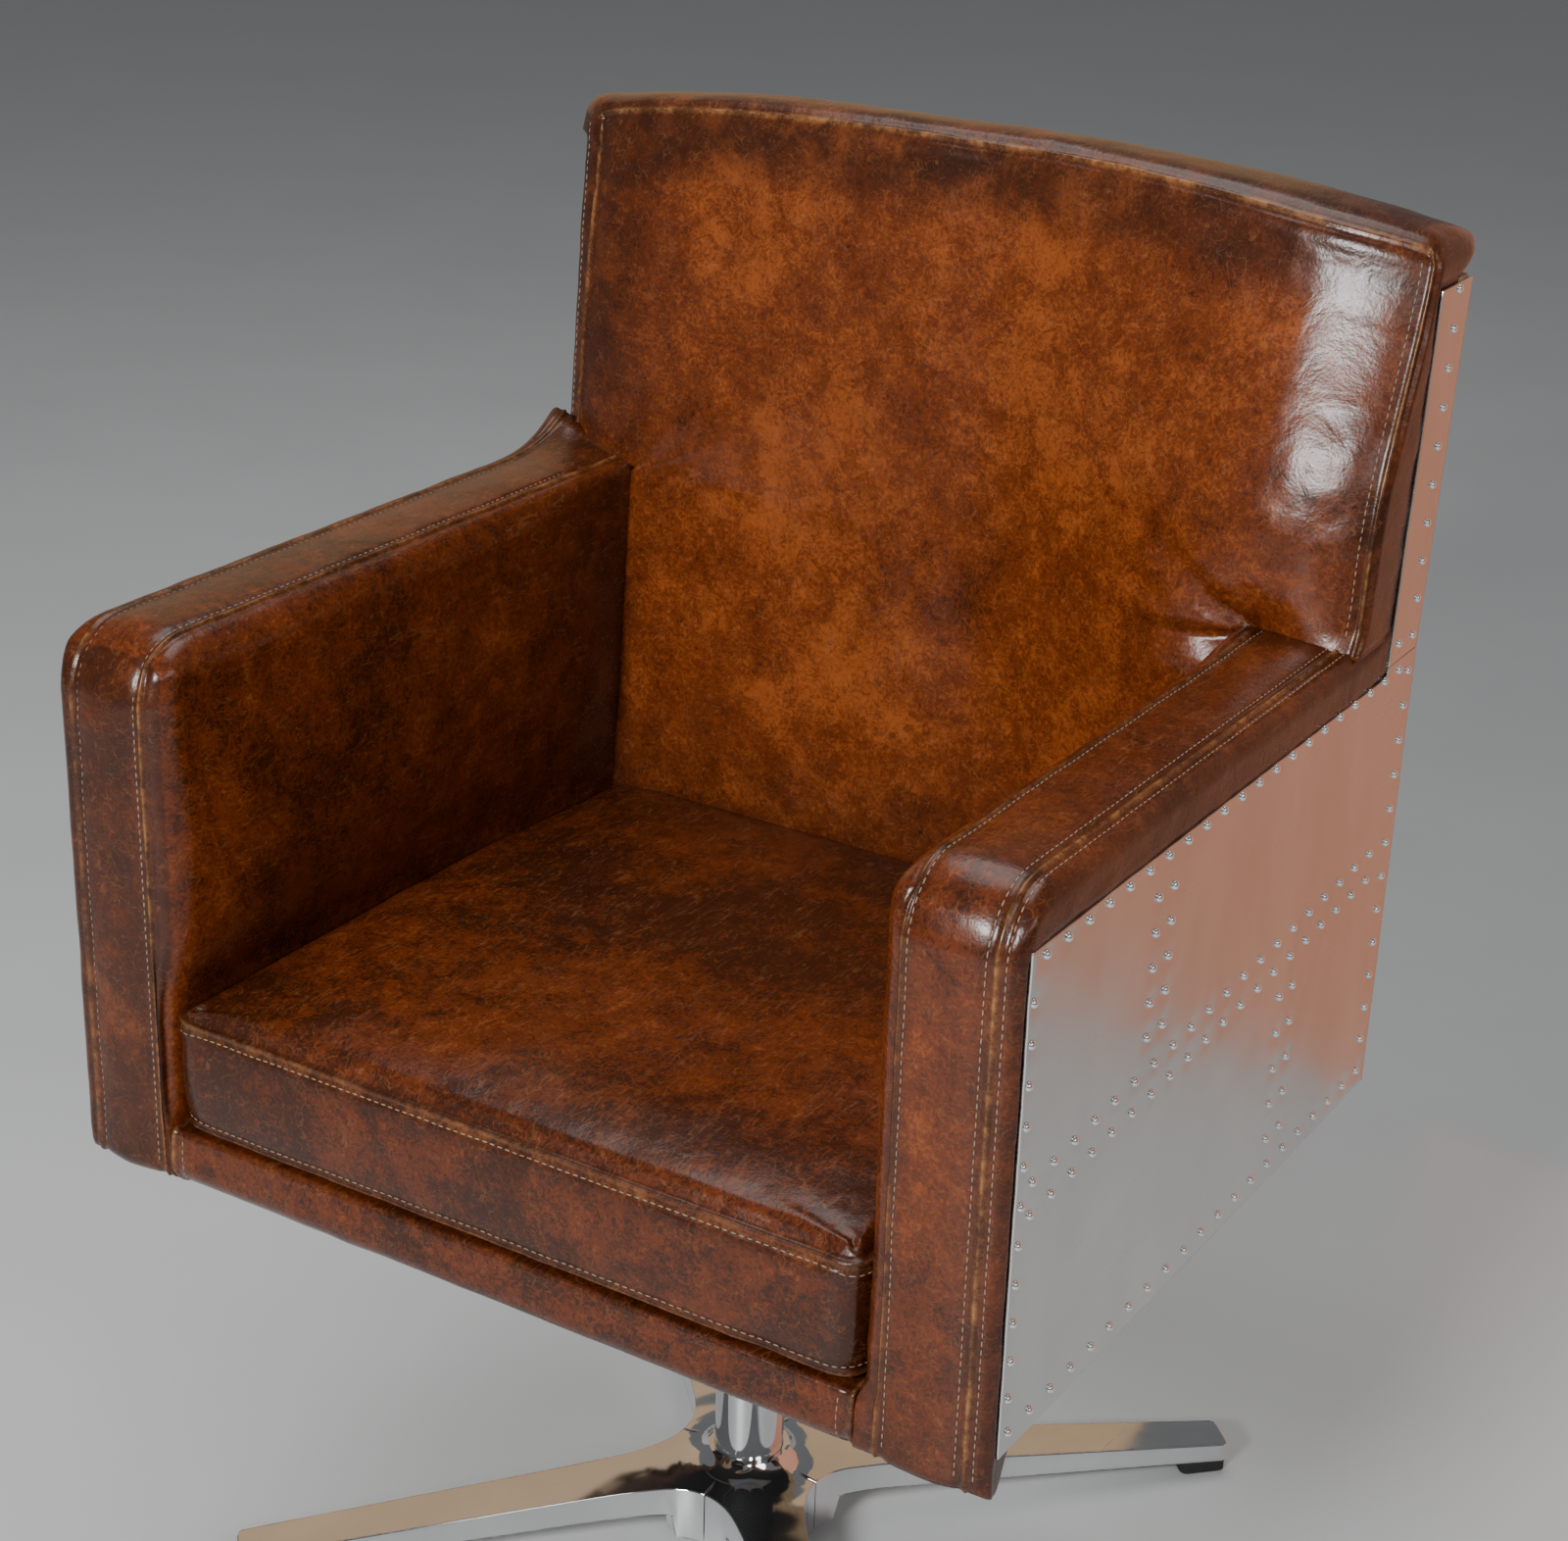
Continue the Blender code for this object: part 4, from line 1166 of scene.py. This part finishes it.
class BuildSideSheets(bpy.types.Operator):
    """Riveted side panels and their upper strips"""
    bl_idname = "tub_chair.side_sheets"
    bl_label = "Side sheets"

    def execute(self, context):
        rear = SHEET_REAR

        def panel_shape(y, z):
            share = ramp(y, 0.16, rear)
            return y + share * (rear_face(z) - rear) * (y - 0.16) / (rear - 0.16), z

        def strip_shape(y, z, shift):
            share = (y - STEP_Y) / (rear - STEP_Y)
            front = band_front(z) + shift
            return front + share * (rear_face(z) - front), z

        ys = stations(PANEL_LOW.y, rear, 0.0042, [(STEP_Y, 0.004, 0.002)])
        zs = stations(PANEL_LOW.z, LAP - 0.0002, 0.0042, [(ARM_SHEET_TOP, 0.004, 0.002)])
        up_ys = stations(STEP_Y, rear, 0.0042)
        up_zs = stations(LAP + 0.0002, STRIP_HIGH.z, 0.0042)
        for side, word, seed, shift in ((-1, "left", 51, LEFT_SETBACK), (1, "right", 67, 0.0)):
            upper_rows = [(y + shift * 0.5, z) for y, z in strip_rows()]
            if shift:
                upper_rows = [(float(rear_face(z)) - 0.006, z) for _, z in upper_rows]
            build_side_sheet(side, "side_sheet_" + word, "side_panel_" + word, ys, zs,
                             lambda y, z: z < ARM_SHEET_TOP or y > STEP_Y, panel_shape,
                             side_rows(), seed)
            build_side_sheet(side, "upper_side_sheet_" + word, "side_strip_" + word, up_ys,
                             up_zs, lambda y, z: True,
                             lambda y, z, shift=shift: strip_shape(y, z, shift),
                             upper_rows, seed + 5, LEFT_INSET if shift else 0.0)
        return {"FINISHED"}


def build_rear_sheet(name, node, low, high, rows, seed):
    thick = 0.002
    half = PANEL_LOW.x - 0.0003
    xs = stations(-half, half, 0.006)
    zs = stations(low, high, 0.006)
    bm = slab(xs, zs, [0.0, thick], lambda x, z: True)
    flat = coordinates(bm)
    off = sheet_wave(flat[:, 0], flat[:, 2], seed, rows)
    y = rear_face(np.clip(flat[:, 2], low, high - 1e-6)) - thick + flat[:, 1] + off
    put_back(bm, np.stack([flat[:, 0], y, flat[:, 2]], axis=1))
    made = sheet_piece(bm, name)
    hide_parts(node)

    def at(a, b):
        stand = float(sheet_wave([a], [b], seed, rows)[0])
        return (a, float(rear_face(b)) + stand, b), (0.0, 1.0, 0.0)

    rivet_set(name + "_rivets", rows, at)


class BuildRearSheets(bpy.types.Operator):
    """Riveted sheets across the rear"""
    bl_idname = "tub_chair.rear_sheets"
    bl_label = "Rear sheets"

    def execute(self, context):
        build_rear_sheet("rear_sheet_lower", "back_panel_lower", REAR_LOW.z, LAP - 0.0002,
                         rear_rows(0.379, 0.676), 81)
        build_rear_sheet("rear_sheet_upper", "back_panel_upper", LAP + 0.0002, REAR_UP_HIGH.z,
                         rear_rows(0.700, 0.920), 87)
        return {"FINISHED"}


# ---------------------------------------------------------------- base and column
def leg_top(r):
    return 0.050 - 0.026 * np.clip((r - 0.07) / (0.3714 - 0.07), 0, 1)


def leg_depth(r):
    return 0.0226 - 0.0076 * np.clip((r - 0.07) / (0.3714 - 0.07), 0, 1)


HUB_RADII = (0.0, 0.0300, 0.0318, 0.0360, 0.0420, 0.0500, 0.0600, 0.0700, 0.0850)
HUB_RISES = (0.0148, 0.0148, 0.0118, 0.0078, 0.0050, 0.0030, 0.0016, 0.0006, 0.0)


def leg_half(s):
    """Half width of a leg at distance s from the middle."""
    plain = 0.0225 - 0.0065 * np.clip((s - 0.07) / 0.30, 0, 1)
    wider = FILLET_START - 0.0225
    extra = wider * np.exp(-(s - FILLET_START) / wider)
    return np.where(s < FILLET_START, s, plain + extra)


class BuildBase(bpy.types.Operator):
    """Polished four-legged star base"""
    bl_idname = "tub_chair.base"
    bl_label = "Star base"

    def execute(self, context):
        tip, bore = STAR_TIP, STAR_BORE
        along = stations(bore, tip, 0.0060, [(bore, 0.012, 0.0022), (FILLET_START, 0.02, 0.0030),
                                             (tip, 0.010, 0.0016)])
        across = 29
        bm = bmesh.new()
        bmesh.ops.create_grid(bm, x_segments=len(along) - 1, y_segments=across - 1, size=0.5)
        flat = coordinates(bm)
        s = along[np.rint((flat[:, 0] + 0.5) * (len(along) - 1)).astype(int)]
        t = flat[:, 1] * 2.0
        t = np.sign(t) * (1 - (1 - np.abs(t)) ** 1.45)
        square = np.clip((s - bore) / (FILLET_START - bore), 0, 1)
        angle = t * math.pi / 4
        ring_x, ring_y = s * np.cos(angle), s * np.sin(angle)
        half = leg_half(s)
        nose = np.clip((s - (tip - 0.006)) / 0.006, 0, 1)
        half = half - 0.006 * (1 - np.sqrt(np.clip(1 - nose ** 2, 0, 1)))
        px = ring_x * (1 - square) + s * square
        py = ring_y * (1 - square) + half * t * square
        turn = math.pi / 4
        for vert, x, y in zip(bm.verts, px, py):
            vert.co = (x * math.cos(turn) - y * math.sin(turn),
                       x * math.sin(turn) + y * math.cos(turn), 0.0)
        one = bm.verts[:] + bm.edges[:] + bm.faces[:]
        for k in (1, 2, 3):
            copied = bmesh.ops.duplicate(bm, geom=one)["geom"]
            verts = [item for item in copied if isinstance(item, bmesh.types.BMVert)]
            bmesh.ops.rotate(bm, verts=verts, cent=(0, 0, 0),
                             matrix=Matrix.Rotation(k * math.pi / 2, 3, "Z"))
        bmesh.ops.remove_doubles(bm, verts=bm.verts, dist=0.00002)
        flat = coordinates(bm)
        r = np.hypot(flat[:, 0], flat[:, 1])
        flat[:, 2] = leg_top(r) + np.interp(r, HUB_RADII, HUB_RISES)
        put_back(bm, flat)
        made = bmesh.ops.extrude_face_region(bm, geom=bm.faces[:])
        under = [item for item in made["geom"] if isinstance(item, bmesh.types.BMVert)]
        below = set(under)
        for vert in under:
            r = math.hypot(vert.co.x, vert.co.y)
            vert.co.z = float(leg_top(r) - leg_depth(r)) if r > 0.066 else STAR_LOW.z
        face_outward(bm)
        rims = [edge for edge in bm.edges if edge.calc_face_angle() > 1.0
                and (edge.verts[0] in below) == (edge.verts[1] in below)
                and math.hypot(*edge.verts[0].co[:2]) > bore + 0.002]
        bevel(bm, rims, 0.0014, 3)
        base = piece(bm, "polished_star_base", "base", shared("polished_base"),
                     sharp_angle=38)
        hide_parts("star_base")
        return {"FINISHED"}


def turned(name, outline, body, material, slot, steps=96, sharp=35):
    """Spins a closed outline of (radius, height) points round the column axis."""
    bm = bmesh.new()
    ring = [bm.verts.new((radius, 0.0, height)) for radius, height in outline]
    edges = [bm.edges.new((ring[i], ring[(i + 1) % len(ring)])) for i in range(len(ring))]
    bmesh.ops.spin(bm, geom=ring + edges, cent=(0, 0, 0), axis=(0, 0, 1), angle=math.tau,
                   steps=steps, use_merge=True)
    bmesh.ops.remove_doubles(bm, verts=bm.verts, dist=0.000005)
    face_outward(bm)
    return piece(bm, name, body, material, sharp_angle=sharp)


class BuildColumn(bpy.types.Operator):
    """Column tube and gas cylinder"""
    bl_idname = "tub_chair.column"
    bl_label = "Column"

    def execute(self, context):
        r, low, top = COLUMN_HIGH.x, COLUMN_LOW.z, COLUMN_HIGH.z
        tube = turned("polished_column", [
            (r - 0.0003, low), (r, low + 0.0004), (r, top - 0.0016), (r - 0.0005, top - 0.0005),
            (r - 0.0016, top), (0.0204, top), (0.0200, top - 0.0006), (0.0200, 0.0353),
            (0.0056, 0.0353), (0.0056, low)], "base", shared("polished_base"), "chromed_steel")
        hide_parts("column_tube")
        r, low, top = CYLINDER_HIGH.x, CYLINDER_LOW.z, CYLINDER_HIGH.z
        cylinder = turned("gas_cylinder_turned", [
            (r - 0.0008, low), (r, low + 0.0010), (r, top - 0.0010), (r - 0.0010, top),
            (0.0031, top), (0.0031, 0.3180), (0.0115, 0.3180), (0.0115, 0.0530),
            (0.0055, 0.0530), (0.0055, low)], "tub", shared("turned_steel"), "plain_steel", 64)
        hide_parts("gas_cylinder")
        return {"FINISHED"}


class BuildGlides(bpy.types.Operator):
    """Glide pads under the leg tips, each with a pale insert"""
    bl_idname = "tub_chair.glides"
    bl_label = "Glides"

    def execute(self, context):
        for k in range(4):
            name = "glide_" + str(k + 1)
            low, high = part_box(name)
            where = math.atan2((low.y + high.y) / 2, (low.x + high.x) / 2)
            bm = bmesh.new()
            bmesh.ops.create_cube(bm, size=1.0)
            bmesh.ops.scale(bm, verts=bm.verts, vec=(0.0352, 0.0306, high.z - low.z))
            upright = [edge for edge in bm.edges
                       if abs(edge.verts[0].co.z - edge.verts[1].co.z) > 0.001]
            bevel(bm, upright, 0.0055, 5)
            rims = [edge for edge in bm.edges if edge.calc_face_angle() > 1.2]
            bevel(bm, rims, 0.0012, 3)
            self.place(bm, 0.3520, where, (high.z + low.z) / 2)
            pad = piece(bm, name + "_pad", "base", shared("soft_rubber"),
                        sharp_angle=40)
            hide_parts(name)
            bm = bmesh.new()
            bmesh.ops.create_cube(bm, size=1.0)
            bmesh.ops.scale(bm, verts=bm.verts, vec=(0.0020, 0.0090, 0.0058))
            bevel(bm, bm.edges[:], 0.0006, 2)
            self.place(bm, 0.3694, where, 0.0062)
            piece(bm, name + "_insert", "base", shared("pale_insert"),
                  sharp_angle=40)
        return {"FINISHED"}

    def place(self, bm, radius, where, height):
        bmesh.ops.translate(bm, verts=bm.verts, vec=(radius, 0, height))
        bmesh.ops.rotate(bm, verts=bm.verts, cent=(0, 0, 0), matrix=Matrix.Rotation(where, 3, "Z"))


class BuildBackBoard(bpy.types.Operator):
    """Board inside the back, trimmed to the leather on the left"""
    bl_idname = "tub_chair.back_board"
    bl_label = "Back board"

    def execute(self, context):
        low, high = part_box("back_board")
        left = -high.x + LEFT_TRIM
        xs = np.array([left, -BACK_IN + 0.0005, BACK_IN - 0.0005, high.x])
        zs = np.array([low.z, WING_Z + 0.001, 0.80, 0.87, high.z])
        bm = slab(xs, zs, [0.0, 0.0175],
                  lambda x, z: abs(x) < BACK_IN - 0.001 or z > WING_Z)
        co = coordinates(bm)
        co[:, 1] += rear_face(co[:, 2]) - 0.0203
        put_back(bm, co)
        face_outward(bm)
        soften_rim(bm, 0.0008)
        board = piece(bm, "back_board_ply", "tub", shared("frame_ply"),
                      sharp_angle=30)
        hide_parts("back_board")
        return {"FINISHED"}


class BuildHidden(bpy.types.Operator):
    """Finishes of the frame, the mechanism and the screws"""
    bl_idname = "tub_chair.mechanism"
    bl_label = "Frame and mechanism"

    def execute(self, context):
        wanted = {
            "turned_steel": ["glide_screw_", "thrust_bearing", "piston_rod", "retaining_clip",
                             "release_button", "seat_plate", "plate_bolt_", "lever_pin",
                             "height_lever"],
            "black_moulding": ["column_bush", "lever_grip"],
            "frame_ply": ["seat_deck", "front_rail_board", "rear_rail_board", "arm_board_"],
            "dust_cloth": ["bottom_cover"],
        }
        for finish, starts in wanted.items():
            for name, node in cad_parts.items():
                if any(name.startswith(start) for start in starts):
                    node.data.materials.clear()
                    node.data.materials.append(shared(finish))
        return {"FINISHED"}


# ---------------------------------------------------------------- stage
# Round lamps: name, place, the point it faces, diameter, watts.
LAMPS = (("key_light", (0.10, -3.1, 2.10), (0, 0, 0.6), 0.86, 122.0),
         ("side_light", (3.0, -1.4, 2.6), (0, 0, 0.5), 1.2, 17.0),
         ("camera_light", (1.55, -1.85, 1.62), (-0.25, 0.0, 0.62), 0.35, 3.6),
         ("top_light", (-0.4, 0.6, 3.4), (0, 0, 0.0), 2.4, 42.0))
CAMERA_PLACE = (0.95, -1.5304, 1.362)
CAMERA_ANGLES = (31.521, 23.004, 1.861)  # round the chair, above level, roll; degrees


class BuildStage(bpy.types.Operator):
    """Pale floor, soft lights and the camera"""
    bl_idname = "tub_chair.stage"
    bl_label = "Stage"

    def execute(self, context):
        self.floor()
        self.world()
        for values in LAMPS:
            self.lamp(*values)
        self.card("reflector_card", (3.4, 1.5), (1.9, 0.86, 0.76), 0.0, (0.64, 0.275, 0.175))
        self.card("pale_card", (2.4, 1.4), (-1.3, 1.4, 1.55), 0.72, (0.50, 0.34, 0.20))
        self.camera()
        return {"FINISHED"}

    def floor(self):
        bm = bmesh.new()
        bmesh.ops.create_grid(bm, x_segments=2, y_segments=2, size=12.0)
        tone = bpy.context.scene.tub_stage.floor
        coat = plain_material("floor_paint", tone, 0.45, 0.03, 3.0, bump=0.0)
        made = self.mesh("studio_floor", bm, coat)

    def mesh(self, name, bm, material):
        mesh = bpy.data.meshes.new(name)
        bm.to_mesh(mesh)
        bm.free()
        made = bpy.data.objects.new(name, mesh)
        bpy.context.scene.collection.objects.link(made)
        mesh.materials.append(material)
        return made

    def world(self):
        world = bpy.data.worlds.new("studio_air")
        bpy.context.scene.world = world
        world.use_nodes = True
        back = world.node_tree.nodes["Background"]
        back.inputs["Color"].default_value = (0.86, 0.88, 0.90, 1.0)
        back.inputs["Strength"].default_value = 0.18

    def card(self, name, size, place, facing, glow):
        """An upright reflector off the stage, seen only as a reflection."""
        bm = bmesh.new()
        bmesh.ops.create_grid(bm, x_segments=1, y_segments=1, size=0.5)
        bmesh.ops.scale(bm, verts=bm.verts, vec=(size[0], size[1], 1.0))
        turn = Matrix.Rotation(facing, 3, "Z") @ Matrix.Rotation(math.pi / 2, 3, "X")
        bmesh.ops.rotate(bm, verts=bm.verts, cent=(0, 0, 0), matrix=turn)
        bmesh.ops.translate(bm, verts=bm.verts, vec=place)
        material = bpy.data.materials.new(name + "_glow")
        material.use_nodes = True
        shader = material.node_tree.nodes["Principled BSDF"]
        shader.inputs["Base Color"].default_value = (0, 0, 0, 1)
        shader.inputs["Emission Color"].default_value = (*glow, 1)
        shader.inputs["Emission Strength"].default_value = 1.0
        made = self.mesh(name, bm, material)
        made.visible_camera = False
        made.visible_diffuse = False
        made.visible_shadow = False

    def lamp(self, name, place, target, size, power):
        data = bpy.data.lights.new(name, "AREA")
        data.shape = "DISK"
        data.size = size
        data.energy = power
        made = bpy.data.objects.new(name, data)
        made.location = place
        way = Vector(target) - Vector(place)
        made.rotation_euler = way.to_track_quat("-Z", "Y").to_euler()
        bpy.context.scene.collection.objects.link(made)

    def camera(self):
        data = bpy.data.cameras.new("camera")
        data.lens = bpy.context.scene.tub_stage.lens
        data.sensor_width = 36.0
        data.sensor_fit = "HORIZONTAL"
        made = bpy.data.objects.new("camera", data)
        a, e, roll = (math.radians(v) for v in CAMERA_ANGLES)
        back = Vector((math.sin(a) * math.cos(e), -math.cos(a) * math.cos(e), math.sin(e)))
        level = Vector((math.cos(a), math.sin(a), 0.0))
        high = back.cross(level)
        right = level * math.cos(roll) + high * math.sin(roll)
        up = high * math.cos(roll) - level * math.sin(roll)
        turn = Matrix((right, up, back)).transposed().to_4x4()
        made.matrix_world = Matrix.Translation(CAMERA_PLACE) @ turn
        bpy.context.scene.collection.objects.link(made)
        bpy.context.scene.camera = made


STEPS = (BuildFinishes, BuildSeat, BuildArms, BuildBack, BuildRail, BuildSideSheets,
         BuildRearSheets, BuildBackBoard, BuildBase, BuildColumn, BuildGlides, BuildHidden,
         BuildStage)


class TubChairPanel(bpy.types.Panel):
    """Lists the chair's sizes, colours and building steps"""
    bl_idname = "VIEW3D_PT_tub_chair"
    bl_label = "Tub Chair"
    bl_space_type = "VIEW_3D"
    bl_region_type = "UI"
    bl_category = "Tub Chair"

    def draw(self, context):
        scene = context.scene
        for group in (scene.tub_leather, scene.tub_metal, scene.tub_stage):
            column = self.layout.column()
            for name in group.__annotations__:
                column.prop(group, name)
        for step in STEPS:
            self.layout.operator(step.bl_idname)


SETTINGS = (LeatherSettings, MetalSettings, StageSettings)


def register():
    for made in SETTINGS + STEPS + (TubChairPanel,):
        bpy.utils.register_class(made)
    bpy.types.Scene.tub_leather = PointerProperty(type=LeatherSettings)
    bpy.types.Scene.tub_metal = PointerProperty(type=MetalSettings)
    bpy.types.Scene.tub_stage = PointerProperty(type=StageSettings)


def unregister():
    del bpy.types.Scene.tub_leather
    del bpy.types.Scene.tub_metal
    del bpy.types.Scene.tub_stage
    for made in reversed(SETTINGS + STEPS + (TubChairPanel,)):
        bpy.utils.unregister_class(made)


def write_sizes():
    def plain(bounds):
        return [[float(number) for number in corner] for corner in bounds]


def main():
    register()
    for step in STEPS:
        family, action = step.bl_idname.split(".")
        getattr(getattr(bpy.ops, family), action)()
    write_sizes()


if __name__ == "__main__":
    main()
